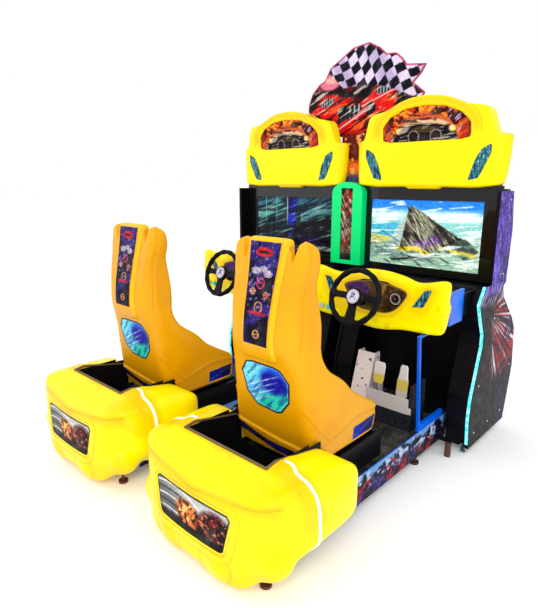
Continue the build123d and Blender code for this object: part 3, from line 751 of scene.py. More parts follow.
def marquee_paint(x, y, z):
    rgb = tint(x, (1.0, 0.985, 0.0))
    window = poly(WINDOW, x, z)
    # Painted shade: a deeper yellow band round the window arch, dark amber lines at the window edge and past
    # the swell, deeper yellow on the outer sides and upper corners.
    rgb = layers(rgb, [
        (SHADED_YELLOW, line(window - 0.03, 0.022, 0.03) * above(z, 1.74, 0.08)),
        (CREASE_SHADE, line(window - 0.006, 0.001, 0.004) * 0.7),
        (CREASE_SHADE, line(window - 0.056, 0.002, 0.008) * above(z, 1.74, 0.03) * 0.6),
        (SHADED_YELLOW, above(np.abs(x), 0.415, 0.03) * 0.55),
        (SHADED_YELLOW, above(np.abs(x), 0.3, 0.05) * above(z, 1.7, 0.05) * 0.4)])
    # Painted shade: darker towards the bottom edge.
    return over(rgb, SHADED_YELLOW, above(-z, -1.475, 0.02) * 0.6)


marquee = solid("marquee", marquee_field, (-0.475, 0.6, 1.445), (0.475, 0.73, 1.96), 0.005, marquee_paint)
both("marquee", marquee, "cabinet", YELLOW, "marquee_shell_")


def marquee_picture(a, b):
    """A car's nose in front of a burning sky."""
    u, v = a / 0.266, (b - 1.712) / 0.19
    rgb = over(tint(a, (0.78, 0.2, 0.06)), (0.97, 0.58, 0.16),
               above(streak(a, b, 0.6 * np.sign(a), 60.0, 4), 0.5, 0.1))
    rgb = over(rgb, (0.24, 0.04, 0.06), spots(0.54, 0.06, a, b, 30.0, 3, 1))
    rgb = over(rgb, (0.66, 0.62, 0.72), strokes(0.68, 0.03, a, b, 0.8, 90.0, 3) * above(np.abs(u), 0.5, 0.1))
    roof = np.hypot(u / 0.7, (v - 0.1) / 0.72) - 1
    rgb = layers(rgb, [
        ((0.78, 0.36, 0.2), below(roof, 0.06)),
        ((0.86, 0.72, 0.56), oval(u, v, (0, 0.22), (0.64, 0.42), 0.08)),
        ((0.2, 0.12, 0.1), strokes(0.56, 0.05, a, b, 0.0, 120.0, 2) * below(roof, 0.06) * 0.8)])
    hood = np.hypot(u / 0.72, (v - 0.06) / 0.44) - 1
    rgb = over(rgb, (0.1, 0.07, 0.08), below(hood, 0.06))
    rgb = over(rgb, (0.28, 0.22, 0.13), oval(u, v, (0, 0.34), (0.26, 0.09), 0.4))
    for s in (-1, 1):
        ring = np.abs(np.hypot((u - s * 0.25) * 1.4, v - 0.14) - 0.17)
        rgb = layers(rgb, [
            ((0.72, 0.66, 0.62), below(ring - 0.01, 0.02)),
            ((0.16, 0.08, 0.08), below(np.hypot((u - s * 0.25) * 1.4, v - 0.14) - 0.13, 0.05) * 0.8),
            ((0.93, 0.84, 0.56), below(np.hypot((u - s * 0.6) * 1.2, v - 0.32) - 0.085, 0.05)),
            ((0.6, 0.16, 0.1), below(np.maximum(0.78 - s * u, v - 0.56), 0.05) * 0.6)])
    rgb = over(rgb, (0.42, 0.1, 0.16), oval(u, v, (0.02, 0.62), (0.16, 0.035), 0.3))
    rgb = over(rgb, (0.62, 0.58, 0.54), strokes(0.62, 0.05, a, b, 0.05, 110.0, 6) * below(hood, 0.1))
    edge = poly(WINDOW, a, b)
    return over(crisp(rgb, a, b, 0.25, 240.0), (0.5, 0.12, 0.04), below(-edge - 0.004, 0.003) * 0.7)


art = sheet("marquee_art", WINDOW, 0.0035, onto(marquee_body, 1, 0.5, 1.0, -0.0055), marquee_picture)
both("marquee_art", art, "cabinet", PRINT, "marquee_artwork")


# ---------------------------------------------------------------- dashboard
def dash_field(x, y, z):
    front = poly(whole(DASH_FRONT, 2, 0.2), x, z)
    side = poly(rounded(DASH_SIDE, 1), y, z)
    d = smax(front, side, 0.022)
    panel = poly(whole(INSTRUMENT, 2), x, z)
    d = smax(d, -np.maximum(panel, y - 0.2), 0.006)
    d = smax(d, -np.hypot(np.abs(x + 0.314) - 0.025, z - 0.794) + 0.0095, 0.002)
    lens = poly(rounded(DASH_LENS, 1), np.abs(x), z)
    return smax(d, -np.maximum(lens, y - 0.194), 0.005)


def dash_paint(x, y, z):
    rgb = tint(x, (1.0, 0.93, 0.02))
    panel = poly(whole(INSTRUMENT, 2), x, z)
    lens = poly(rounded(DASH_LENS, 1), np.abs(x), z)
    # Painted shade round the lamp lens recess and round the instrument recess, and a painted highlight on the
    # lower part of the dash.
    rgb = layers(rgb, [
        ((0.96, 0.76, 0.04), below(lens - 0.03, 0.05) * 0.7),
        ((1.0, 0.99, 0.03), above(-z, -0.8, 0.04) * 0.9),
        ((0.93, 0.72, 0.05), line(panel - 0.014, 0.008, 0.016) * 0.7)])
    f = fbm(x, z, 14.0, 3, 9)
    return over(rgb, (0.95, 0.78, 0.1), above(f, 0.6, 0.12) * 0.5)


dash = solid("dash", dash_field, (-0.415, 0.19, 0.705), (0.415, 0.246, 1.045), 0.0045, dash_paint)
both("dashboard", dash, "cabinet", YELLOW, "dashboard_shell_")


def instrument_picture(a, b):
    f = fbm(a, b, 26.0, 4, 3)
    rgb = tint(a, (0.3, 0.21, 0.11))
    rgb = over(rgb, (0.44, 0.34, 0.2), above(f, 0.56, 0.1))
    weave = np.sin((a + b) * 900) * np.sin((a - b) * 900)
    rgb = layers(rgb, [
        ((0.14, 0.09, 0.06), above(weave, 0.2, 0.3) * 0.6),
        ((0.25, 0.12, 0.45), oval(a, b, (-0.1, 0.93), (0.07, 0.035), 0.5) * 0.8),
        ((0.85, 0.6, 0.25), line(seg(a, b, (0.03, 0.9), (0.06, 0.96)), 0.012, 0.01) * 0.5)])
    edge = poly(whole(INSTRUMENT, 2), a, b)
    return over(crisp(rgb, a, b, 0.3, 220.0), (0.62, 0.48, 0.3), below(-edge - 0.004, 0.003))


def dial_picture(a, b):
    """A rev dial: white ring, ticks all round and a red-tipped needle."""
    r, t = np.hypot(a, b), np.arctan2(b, a)
    rgb = tint(a, (0.03, 0.03, 0.03))
    rgb = over(rgb, (0.85, 0.83, 0.78), line(r - 0.0285, 0.0015, 0.001))
    tick = np.abs((t / (math.pi / 8) + 0.5) % 1 - 0.5) * (math.pi / 8) * r
    rgb = over(rgb, (0.75, 0.74, 0.72), below(np.maximum(tick - 0.0011, np.abs(r - 0.0225) - 0.0035), 0.001))
    rgb = over(rgb, (0.9, 0.25, 0.1), below(seg(a, b, (0.0, 0.0), (-0.013, 0.014)) - 0.0012, 0.001))
    return over(rgb, (0.45, 0.44, 0.42), below(r - 0.005, 0.001))


def ring(radius, count=48):
    return [(radius * math.cos(2 * math.pi * k / count), radius * math.sin(2 * math.pi * k / count))
            for k in range(count)]


DIAL = (0.128, 0.903)
plate = sheet("instrument_face", whole(INSTRUMENT, 2), 0.0035, flat(DASH_INLAY_Y), instrument_picture)
both("instrument_face", plate, "cabinet", PRINT)
dial = sheet("rev_dial", ring(0.0308), 0.0012, lambda a, b: (a + DIAL[0], DIAL_Y - FILM, b + DIAL[1]),
             dial_picture)
both("rev_dial", dial, "cabinet", PRINT)


# ---------------------------------------------------------------- steering wheel
WHEEL_AT = Matrix.Translation((0, 0.005, 0.926)) @ Matrix.Rotation(math.radians(70), 4, "X")


def wheel_field(x, y, z):
    r = np.hypot(x, y)
    d = np.hypot(r - 0.138, z) - 0.0145 - 0.0012 * np.cos(14 * np.arctan2(y, x))
    hub = np.maximum(r - 0.046, np.abs(z + 0.002) - 0.014)
    d = smin(d, smax(hub, np.abs(z + 0.002) - 0.014, 0.01), 0.012)
    ax = np.abs(x)
    bar = box3(ax, y, z, (0.02, -0.016, -0.006), (0.138, 0.02, 0.005), 0.005)
    d = smin(d, bar, 0.016)
    foot = np.maximum(ax - 0.024 - 0.1 * np.maximum(-y - 0.05, 0), np.abs(z) - 0.005)
    d = smin(d, np.maximum(foot, np.maximum(y + 0.03, -y - 0.138)), 0.012)
    d = np.minimum(d, np.maximum(r - 0.022, np.abs(z + 0.038) - 0.03))
    return np.minimum(d, np.maximum(r - 0.012, np.abs(z + 0.18) - 0.15))


wheel = solid("wheel", wheel_field, (-0.155, -0.155, -0.33), (0.155, 0.155, 0.02), 0.0035)
wheel.transform(WHEEL_AT)
both("wheel", wheel, "steering_", GRIP, "steering_wheel_")


def badge_picture(a, b):
    r = np.hypot(a, b)
    rgb = tint(a, (0.8, 0.8, 0.84))
    rgb = over(rgb, (0.5, 0.5, 0.58), line(r - 0.0305, 0.0012, 0.001))
    rgb = over(rgb, (0.3, 0.33, 0.6), spots(0.54, 0.08, a, b, 80.0, 3, 2) * below(r - 0.024, 0.004))
    return over(rgb, (0.95, 0.95, 0.97), line(r - 0.025, 0.001, 0.001))


badge = sheet("badge_face", ring(0.0355), 0.0018, lambda a, b: (a, b, 0.0163), badge_picture)
badge.transform(WHEEL_AT)
both("badge_face", badge, "steering_", PRINT)


# ---------------------------------------------------------------- pedals
def pedal_mesh(name, u, outline, low, high, lean, arm_half):
    mid = (low + high) / 2
    face = [(0.272, low), (0.28, low - 0.002), (0.28 + lean, high), (0.272 + lean, high + 0.004)]
    arm = [(0.321, 0.235), (0.339, 0.235), (0.302, mid + 0.02), (0.278, low + 0.006), (0.284, low + 0.002),
           (0.3, 0.3)]

    def field(x, y, z):
        ax = np.abs(x - u)
        pad = smax(poly(face, y, z), poly(outline, ax, z), 0.004)
        rod = np.maximum(poly(arm, y, z), ax - arm_half)
        boss = np.maximum(np.hypot(y - 0.33, z - 0.235) - 0.015, ax - arm_half)
        bore = np.hypot(y - 0.33, z - 0.235) - 0.00605
        return np.maximum(np.minimum(np.minimum(pad, rod), boss), -bore)

    return solid(name, field, (u - 0.04, 0.26, 0.215), (u + 0.04, 0.35, high + 0.01), 0.0025)


gas = pedal_mesh("gas", 0.15, mm([(-9, 320), (28, 322), (34, 345), (34, 420), (26, 455), (23, 500), (15, 514),
                                   (-9, 516)]), 0.326, 0.512, 0.026, 0.012)
both("accelerator", gas, "accelerator_", PEDAL, "accelerator_pedal_")
stop = pedal_mesh("stop", 0.003, mm([(-9, 372), (24, 374), (33, 395), (35, 480), (27, 500), (-9, 502)]),
                  0.376, 0.498, 0.02, 0.009)
both("brake", stop, "brake_", PEDAL, "brake_pedal_")


# ---------------------------------------------------------------- seat
def spine_half(z):
    return np.interp(z, [0.3, 0.8, 0.86, 1.08, 1.29], [0.092, 0.09, 0.084, 0.088, 0.104])


def side_fold(y):
    return np.interp(y, [-0.66, -0.58, -0.5, -0.3, -0.15], [0.62, 0.5, 0.42, 0.47, 0.455])


def wing_edge(y, z):
    """The fold that sets the side bolster off from the back of the seat."""
    return y - np.interp(z, [0.55, 0.8, 1.05, 1.12, 1.28], [-0.57, -0.66, -0.64, -0.615, -0.6])


def rear_lip(x):
    return np.interp(x, [-0.25, -0.12, 0.05, 0.25], [0.446, 0.422, 0.4, 0.392])


def seat_field(x, y, z):
    outline = rounded(SEAT_SIDE, 2, 0.2)
    side = poly(outline, y, z)
    shallow = np.maximum(side, poly(outline, y - 0.016, z))
    front = poly(whole(SEAT_FRONT, 2, 0.2), x, z)
    plan = poly(whole(SEAT_PLAN, 2, 0.2), x, y)
    ax = np.abs(x)
    notch = np.maximum(np.abs(ax - 0.13) - 0.34 * (z - 1.185), 1.185 - z)
    d = smax(smax(shallow, front, 0.02), plan, 0.03)
    d = smax(d, -notch * 0.85, 0.008)
    spine = smax(smax(side, ax - spine_half(z), 0.01), smax(front, plan, 0.02), 0.02)
    d = smin(d, np.maximum(spine, 0.78 - z), 0.006)
    hollow = smax(poly(rounded(SCOOP_SIDE), y, z), poly(whole(SCOOP_FRONT), x, z), 0.03)
    d = smax(d, -hollow, 0.014)
    fold = ridge(side_fold(y) - z, 0.012) * (ax > 0.2)
    skirt = rise(rear_lip(x) - z, 0.008) * rise(-0.5 - y, 0.05)
    skirt = skirt * rise(0.212 - ax, 0.02)
    bolster = np.clip(wing_edge(y, z) / 0.006, 0, 1) * rise(z - 0.84, 0.1) * (ax > 0.13)
    return d - 0.004 * fold - 0.01 * skirt - 0.006 * bolster


def seat_paint(x, y, z):
    rgb = tint(x, SEAT_AMBER)
    rgb = over(rgb, (0.85, 0.57, 0.02), spots(0.55, 0.2, y, z, 5.0, 3, 4) * 0.6)
    # Painted highlight along the spine edges, on the top edge of the seat and on its front face.
    edge = line(np.abs(x) - spine_half(z), 0.006, 0.006) * above(z, 0.8, 0.02) * above(-y, 0.6, 0.04)
    rgb = layers(rgb, [
        ((1.0, 0.78, 0.12), edge * 0.7),
        ((0.98, 0.8, 0.2), above(z, 1.262, 0.02) * 0.6),
        ((0.98, 0.8, 0.25), above(y, -0.15, 0.015) * above(z, 0.43, 0.03) * 0.7)])
    pan = line(x, 0.165, 0.01) * above(y, -0.4, 0.02) * above(z, 0.435, 0.01)
    rgb = over(rgb, (0.8, 0.64, 0.5), pan * 0.6)
    # Painted shade: dark amber lines under the side fold, under the rear lip, along the wing edge and beside
    # the spine.
    mark = line(side_fold(y) - z - 0.013, 0.002, 0.008) * above(np.abs(x), 0.2, 0.01)
    mark = np.maximum(mark, line(rear_lip(x) - z + 0.006, 0.001, 0.008) * above(-y, 0.5, 0.02))
    wing = np.abs(wing_edge(y, z)) + 0.1 * np.maximum(0.84 - z, 0)
    mark = np.maximum(mark, below(wing - 0.002, 0.007) * above(np.abs(x), 0.15, 0.02))
    spine = np.abs(np.abs(x) - spine_half(z) - 0.01) + 0.1 * np.maximum(0.83 - z, 0)
    mark = np.maximum(mark, below(spine - 0.002, 0.007) * above(-y, 0.6, 0.02))
    return over(rgb, CREASE_SHADE, mark * 0.75)


seat = solid("seat", seat_field, (-0.25, -0.725, 0.3), (0.25, -0.1, 1.285), 0.006, seat_paint)
both("seat", seat, "seat_", AMBER, "seat_shell_")

STRIP = mm([(84, 1262), (72, 1080), (66, 845), (-66, 845), (-72, 1080), (-84, 1262)])
SHIELD = mm([
    (-100, 744), (-60, 752), (62, 752), (100, 744), (140, 690), (132, 600), (84, 540), (52, 530), (-60, 538),
    (-118, 590), (-140, 690)])


def strip_picture(a, b):
    u, v = a / 0.08, (b - 0.845) / 0.417
    rgb = tint(a, (0.045, 0.03, 0.12))
    rgb = layers(rgb, [
        ((0.14, 0.1, 0.38), spots(0.55, 0.08, a, b, 18.0, 4, 1)),
        ((0.72, 0.1, 0.12), oval(u, v, (0, 0.9), (0.6, 0.045), 0.2)),
        ((0.2, 0.03, 0.08), oval(u, v, (0, 0.9), (0.4, 0.018), 0.3)),
        ((0.45, 0.36, 0.62), spots(0.7, 0.05, a, b, 90.0, 2, 6) * above(v, 0.24, 0.05))])
    chk = (np.floor(a * 150 + b * 40) + np.floor(b * 150 - a * 40)) % 2
    for cu, cv in ((-0.45, 0.72), (0.42, 0.7), (0.05, 0.735)):
        rgb = over(rgb, (0.84, 0.78, 0.78), chk * below(np.hypot((u - cu) / 0.3, (v - cv) / 0.035) - 1, 0.2))
    for cu, cv, size, tone in ((0.0, 0.605, 0.024, (0.8, 0.22, 0.36)),
                               (-0.45, 0.52, 0.013, (0.86, 0.6, 0.42)), (0.45, 0.5, 0.013, (0.84, 0.4, 0.25)),
                               (0.05, 0.375, 0.025, (0.72, 0.55, 0.25)),
                               (0.05, 0.11, 0.019, (0.9, 0.62, 0.4))):
        p, q = (u - cu) * 0.08, (v - cv) * 0.417
        r = np.hypot(p, q)
        rgb = over(rgb, tone, line(r - size * 0.85, 0.0022, 0.002))
        rgb = over(rgb, tone, line(q - 0.6 * p * np.cos(p * 150), 0.0022, 0.002) * below(r - size, 0.002))
    rgb = over(rgb, (0.66, 0.12, 0.2), oval(u, v, (0, 0.315), (0.7, 0.016), 0.3))
    return crisp(rgb, a, b, 0.28, 230.0)


def shield_picture(a, b):
    t, w = (b - 0.53) / 0.222, a / 0.14
    rgb = over(tint(a, (0.16, 0.78, 0.66)), (0.1, 0.36, 0.86), above(t - 0.35 * w, 0.4, 0.3))
    rgb = layers(rgb, [
        ((0.1, 0.1, 0.62), oval(w, t, (0.35, 0.62), (0.6, 0.22), 0.5)),
        ((0.45, 0.86, 0.95), above(t - 0.5 * w, 0.88, 0.2)),
        ((0.45, 0.9, 0.98), oval(w, t, (-0.5, 0.5), (0.35, 0.4), 0.6) * 0.7)])
    for k in range(4):
        mark = np.abs(t - 0.28 - 0.12 * k - 0.3 * w)
        rgb = over(rgb, (0.88, 0.95, 0.98), below(mark - 0.01, 0.02) * above(-w, -0.2 - 0.1 * k, 0.4) * 0.9)
    rgb = over(rgb, (0.06, 0.16, 0.5), strokes(0.62, 0.05, a, b, 0.9, 70.0, 7) * 0.5)
    edge = poly(SHIELD, a, b)
    rgb = over(crisp(rgb, a, b, 0.25, 240.0), (0.62, 0.8, 0.92), line(edge + 0.011, 0.0015, 0.002) * 0.7)
    return over(rgb, (0.03, 0.05, 0.2), below(-edge - 0.007, 0.003))


def plaque_picture(a, b):
    rgb = tint(a, (0.05, 0.05, 0.42))
    rgb = over(rgb, (0.05, 0.16, 0.7), above(-a, 0.26, 0.06))
    rgb = over(rgb, (0.3, 0.34, 0.75), below(seg(a, b, (-0.3, 0.362), (-0.17, 0.4)) - 0.004, 0.004) * 0.6)
    rgb = over(crisp(rgb, a, b, 0.3, 230.0), (0.02, 0.02, 0.1), spots(0.58, 0.06, a, b, 60.0, 3, 2) * 0.7)
    return over(rgb, (0.9, 0.68, 0.12), below(-poly(PLAQUE, a, b) - 0.006, 0.002))


def band_picture(a, b):
    rgb = over(tint(a, (0.04, 0.03, 0.12)), (0.13, 0.1, 0.36), spots(0.52, 0.1, a, b, 25.0, 3, 2))
    return over(crisp(rgb, a, b, 0.2), (0.8, 0.55, 0.1), below(-poly(BAND, a, b) - 0.004, 0.002))


BAND = mm([
    (-222, 372), (-160, 362), (-80, 340), (0, 316), (100, 308), (216, 312), (218, 352), (130, 368), (40, 366),
    (-40, 372), (-110, 396), (-160, 416), (-212, 428)])
REAR = onto(seat_field, 1, -0.8, 1.0, 0.0012)
stick = [sheet("seat_strip", STRIP, 0.004, REAR, strip_picture),
         sheet("seat_shield", SHIELD, 0.004, REAR, shield_picture),
         sheet("seat_band", BAND, 0.006, REAR, band_picture)]
PLAQUE = mm([(-330, 338), (-150, 338), (-136, 424), (-330, 416)])
for name, start, sign in (("plaque_right", 0.3, -1.0), ("plaque_left", -0.3, 1.0)):
    stick.append(sheet("seat_" + name, PLAQUE, 0.004, onto(seat_field, 0, start, sign, 0.0012),
                       plaque_picture))
for mesh in stick:
    both(mesh.name, mesh, "seat_", PRINT, "seat_panels_")


# ---------------------------------------------------------------- screens
def screen_frame(a, b):
    """Across from -1 to 1, up from 0 to 1, and a mask of any flat shape drawn in that frame."""
    u, v = a / PICTURE_HALF[0], ((b - SCREEN_Z) / PICTURE_HALF[1] + 1) / 2
    return u, v, lambda *points: below(poly(points, u, v), 0.02)


def game_day(a, b):
    """A blue-topped sky, a jagged dark peak and a pale track with yellow edges."""
    u, v, face = screen_frame(a, b)
    haze = fbm(a, b, 6.0, 3, 2)
    rgb = over(tint(a, (0.5, 0.74, 0.72)), (0.14, 0.46, 0.86), above(v + 0.12 * (haze - 0.5), 0.84, 0.14))
    rgb = layers(rgb, [
        ((0.9, 0.93, 0.9), line(v - 0.76 - 0.1 * (haze - 0.5), 0.05, 0.1) * above(haze, 0.45, 0.2)),
        ((0.28, 0.66, 0.78), face((-1, 0.6), (-0.45, 0.66), (-0.5, 0.4), (-1, 0.46))),
        ((0.8, 0.76, 0.4), face((-1, 0.46), (-0.55, 0.42), (-0.8, 0.28), (-1, 0.3))),
        ((0.58, 0.72, 0.62), face((-1, 0.3), (1, 0.46), (1, 0), (-1, 0))),
        ((0.74, 0.83, 0.78), face((0.35, 0.42), (1, 0.5), (1, 0.2), (0.5, 0.26)) * 0.8),
        ((0.3, 0.4, 0.42), face((-1, 0.24), (-0.2, 0.3), (0.3, 0.1), (-0.9, 0.12)) * 0.7),
        ((0.62, 0.7, 0.68), face((-0.75, 0.22), (-0.2, 0.92), (0.02, 0.8), (-0.3, 0.16))),
        ((0.27, 0.26, 0.22), face((-0.42, 0.24), (-0.26, 0.92), (-0.05, 0.84), (0.28, 0.66),
                                        (0.68, 0.46), (0.36, 0.3), (0.1, 0.2))),
        ((0.45, 0.44, 0.36), face((-0.2, 0.88), (0.24, 0.64), (0.1, 0.42), (-0.1, 0.5)))])
    for k in range(7):
        mark = seg(u, v, (-0.3 + 0.09 * k, 0.9 - 0.08 * k), (-0.02 + 0.09 * k, 0.22))
        tone = (0.86, 0.86, 0.8) if k % 2 else (0.08, 0.08, 0.08)
        rgb = over(rgb, tone, below(mark - 0.007, 0.012) * 0.8)
    rgb = layers(rgb, [
        ((0.14, 0.16, 0.15), face((0.42, 0.44), (0.72, 0.5), (0.98, 0.3), (0.74, 0.16)) * 0.8),
        ((0.36, 0.2, 0.48), face((-0.22, 0.36), (0.3, 0.5), (0.36, 0.4), (-0.1, 0.26))),
        ((0.88, 0.78, 0.16), face((-0.52, 0.26), (-0.1, 0.32), (0.22, 0.2), (0.1, 0.16),
                                        (-0.12, 0.24), (-0.5, 0.2))),
        ((0.88, 0.8, 0.3), face((0.3, 0.34), (0.95, 0.26), (0.95, 0.2), (0.3, 0.28)) * 0.8),
        ((0.16, 0.16, 0.14), face((-0.6, 0.1), (0.45, 0.24), (0.5, 0.2), (-0.55, 0.05)))])
    peak = face((-0.42, 0.24), (-0.26, 0.92), (-0.05, 0.84), (0.28, 0.66), (0.68, 0.46), (0.1, 0.2))
    fine = streak(a, b, -1.2, 90.0, 5)
    rgb = over(rgb, (0.07, 0.07, 0.06), above(fine, 0.54, 0.04) * peak * 0.7)
    rgb = over(rgb, (0.72, 0.72, 0.62), above(-fine, -0.36, 0.03) * peak * 0.7)
    low = below(v - 0.5, 0.2) * (1 - peak)
    rgb = layers(rgb, [
        ((0.42, 0.56, 0.52), strokes(0.56, 0.04, a, b, 0.15, 80.0, 1) * low * 0.7),
        ((0.2, 0.24, 0.22), strokes(0.66, 0.04, a, b, -0.5, 70.0, 2) * low * 0.8),
        ((0.92, 0.96, 0.94), strokes(0.62, 0.04, a, b, 0.1, 60.0, 12) * (1 - peak) * 0.7)])
    return crisp(rgb, a, b, 0.22, 170.0)


def game_night(a, b):
    """A dark street seen at speed, with blue and grey-green beams fanning out."""
    u, v, face = screen_frame(a, b)
    rgb = over(tint(a, (0.05, 0.06, 0.09)), (0.16, 0.34, 0.42), above(v - 0.2 * u, 0.66, 0.4))
    for points, tone in ((((-1, 0.72), (-0.35, 0.96), (-0.15, 0.8), (-1, 0.46)), (0.36, 0.58, 0.56)),
                         (((-0.15, 1.0), (0.12, 1.0), (0.0, 0.3), (-0.12, 0.3)), (0.1, 0.12, 0.72)),
                         (((0.2, 0.7), (1, 0.96), (1, 0.72), (0.2, 0.55)), (0.3, 0.5, 0.52)),
                         (((-1, 0.3), (-0.1, 0.55), (0.05, 0.42), (-1, 0.1)), (0.1, 0.2, 0.26)),
                         (((0.1, 0.42), (0.7, 0.3), (0.9, 0.05), (0.2, 0.2)), (0.17, 0.1, 0.3)),
                         (((-1, 0.1), (1, 0.16), (1, 0.08), (-1, 0.02)), (0.5, 0.58, 0.52))):
        rgb = over(rgb, tone, face(*points) * 0.9)
    fine = streak(a, b, 0.3, 70.0, 8)
    rgb = over(rgb, (0.02, 0.02, 0.04), above(fine, 0.5, 0.2) * 0.7)
    rgb = over(rgb, (0.58, 0.78, 0.74), above(-fine, -0.28, 0.06) * 0.5)
    for k, tone in enumerate(((0.3, 0.9, 0.55), (0.2, 0.75, 0.7), (0.85, 0.88, 0.8))):
        rgb = over(rgb, tone, line(u + 0.75 - 0.3 * k, 0.012, 0.012) * above(v, 0.55, 0.2) * 0.6)
    return crisp(rgb, a, b, 0.22, 170.0)


PICTURE = [(s * PICTURE_HALF[0], SCREEN_Z + t * PICTURE_HALF[1]) for s, t in
           ((-1, -1), (1, -1), (1, 1), (-1, 1))]
for (unit, ux, side), picture in zip(UNITS, (game_night, game_day)):
    view = sheet("screen_" + unit, PICTURE, 0.0035, flat(SCREEN_Y), picture)
    put("screen_" + unit, view, "cabinet", SCREEN, (ux, 0, 0))


# ---------------------------------------------------------------- topper
def topper_picture(a, b):
    """A waving chequered flag over red racing cars."""
    wave = 0.03 * np.sin(a * 11 + b * 7)
    p, q = (a * 0.9 + b * 0.43) * 15 + 0.3, (b * 0.9 - a * 0.43 + wave) * 18
    check = (np.floor(p) + np.floor(q)) % 2
    flag = over(tint(a, (0.84, 0.78, 0.9)), (0.05, 0.05, 0.1), check)
    flag = over(flag, (0.6, 0.52, 0.7), above(np.sin(a * 22 + b * 14), 0.2, 1.0) * (1 - check) * 0.6)
    rgb = over(tint(a, (0.08, 0.05, 0.06)), (0.46, 0.05, 0.07), spots(0.54, 0.06, a, b * 1.8, 13.0, 4, 2))
    for k in range(9):
        x0, z0 = -0.42 + 0.09 * k, 1.86 + 0.022 * k
        mark = seg(a, b, (x0, z0), (x0 + 0.16, z0 + 0.075))
        tone = ((0.92, 0.34, 0.12), (0.84, 0.8, 0.78), (0.88, 0.08, 0.1))[k % 3]
        rgb = over(rgb, tone, below(mark - 0.006 - 0.004 * (k % 2), 0.006))
    for cx, cz, s, lean in ((-0.07, 1.86, 1.7, 0.3), (-0.27, 1.96, 1.1, 0.2), (0.16, 2.0, 1.1, 0.15)):
        u, v = (a - cx) / s, (b - cz - lean * (a - cx)) / s
        hull = np.minimum(np.hypot(u / 0.17, v / 0.05) - 1,
                          np.hypot((u + 0.02) / 0.085, (v - 0.04) / 0.045) - 1)
        rgb = over(rgb, (0.84, 0.07, 0.07), below(hull, 0.08))
        rgb = over(rgb, (0.97, 0.36, 0.14), oval(u, v, (0.06, -0.012), (0.08, 0.018), 0.4))
        glass = oval(u, v, (-0.02, 0.046), (0.055, 0.022), 0.2)
        rgb = layers(rgb, [
            ((0.62, 0.68, 0.7), glass),
            ((0.08, 0.08, 0.1), glass * above(np.abs(np.sin(u * 160)), 0.5, 0.4)),
            ((0.95, 0.9, 0.88), line(v - 0.018 - 0.2 * u, 0.0025, 0.003) * below(hull, 0.08))])
        for w in (-0.1, 0.1):
            rgb = over(rgb, (0.03, 0.03, 0.03), below(np.hypot(u - w, v + 0.038) - 0.034, 0.006))
    rgb = over(rgb, (0.03, 0.02, 0.03), strokes(0.58, 0.04, a, b, 0.45, 45.0, 3) * 0.75)
    rgb = over(rgb, (0.86, 0.82, 0.8), strokes(0.68, 0.03, a, b, 0.5, 75.0, 9) * 0.8)
    fold = b - 2.06 - 0.03 * np.sin(a * 8 + 1.0) + 0.18 * a - 0.9 * np.maximum(-0.16 - a, 0)
    rgb = over(rgb, (0.86, 0.45, 0.55), oval(a, b, (-0.27, 2.13), (0.085, 0.05), 0.3))
    rgb = over(rgb, (0.97, 0.66, 0.62), oval(a, b, (-0.26, 2.14), (0.05, 0.02), 0.5))
    m = above(fold, 0.0, 0.008)[..., None]
    rgb = rgb * (1 - m) + flag * m
    edge = poly(TOPPER, a, b)
    rim = below(-edge - 0.009, 0.005) * above(b, 1.96, 0.05)
    return over(crisp(rgb, a, b, 0.22, 190.0), (0.72, 0.2, 0.34), rim * 0.9)


flag = sheet("topper_art", TOPPER, 0.0045, flat(TOPPER_FRONT_Y), topper_picture)
put("topper_art", flag, "cabinet", PRINT)


# ---------------------------------------------------------------- centre strip
def strip_paint(a, b):
    v = (b - 0.99) / 0.46
    rgb = tint(a, (0.34, 0.24, 0.18))
    rgb = layers(rgb, [
        ((0.5, 0.42, 0.4), spots(0.52, 0.08, a, b, 16.0, 4, 2)),
        ((0.06, 0.05, 0.05), strokes(0.54, 0.04, a, b, 2.2, 40.0, 4)),
        ((0.62, 0.16, 0.1), strokes(0.6, 0.04, a, b, 1.2, 40.0, 6)),
        ((0.8, 0.74, 0.64), strokes(0.64, 0.04, a, b, -2.0, 70.0, 8)),
        ((0.1, 0.09, 0.07), above(-v, -0.1, 0.1))])
    return crisp(rgb, a, b, 0.3, 200.0)


def infill_paint(a, b):
    rgb = tint(a, (0.02, 0.02, 0.04))
    rgb = layers(rgb, [
        ((0.26, 0.24, 0.4), above(b, 1.45, 0.01) * above(-b, -1.56, 0.04)),
        ((0.88, 0.4, 0.1), above(b, 1.54, 0.04) * above(-b, -1.64, 0.04)),
        ((0.36, 0.08, 0.05), above(b, 1.62, 0.04))])
    return crisp(over(rgb, (0.9, 0.6, 0.3), spots(0.62, 0.05, a, b, 30.0, 3, 2) * above(b, 1.45, 0.01)), a, b,
                 0.3)


arch = [(-0.044, 0.992), (0.044, 0.992), (0.044, 1.4), (0.036, 1.43), (0.018, 1.448), (-0.018, 1.448),
        (-0.036, 1.43), (-0.044, 1.4)]
put("column_art", sheet("column_art", arch, 0.003, flat(COLUMN_FRONT_Y), strip_paint), "cabinet", PRINT)
infill = [(-0.1, 1.456), (0.1, 1.456), (0.1, 1.788), (-0.1, 1.788)]
put("infill_art", sheet("infill_art", infill, 0.004, flat(INFILL_FRONT_Y), infill_paint), "cabinet", PRINT)


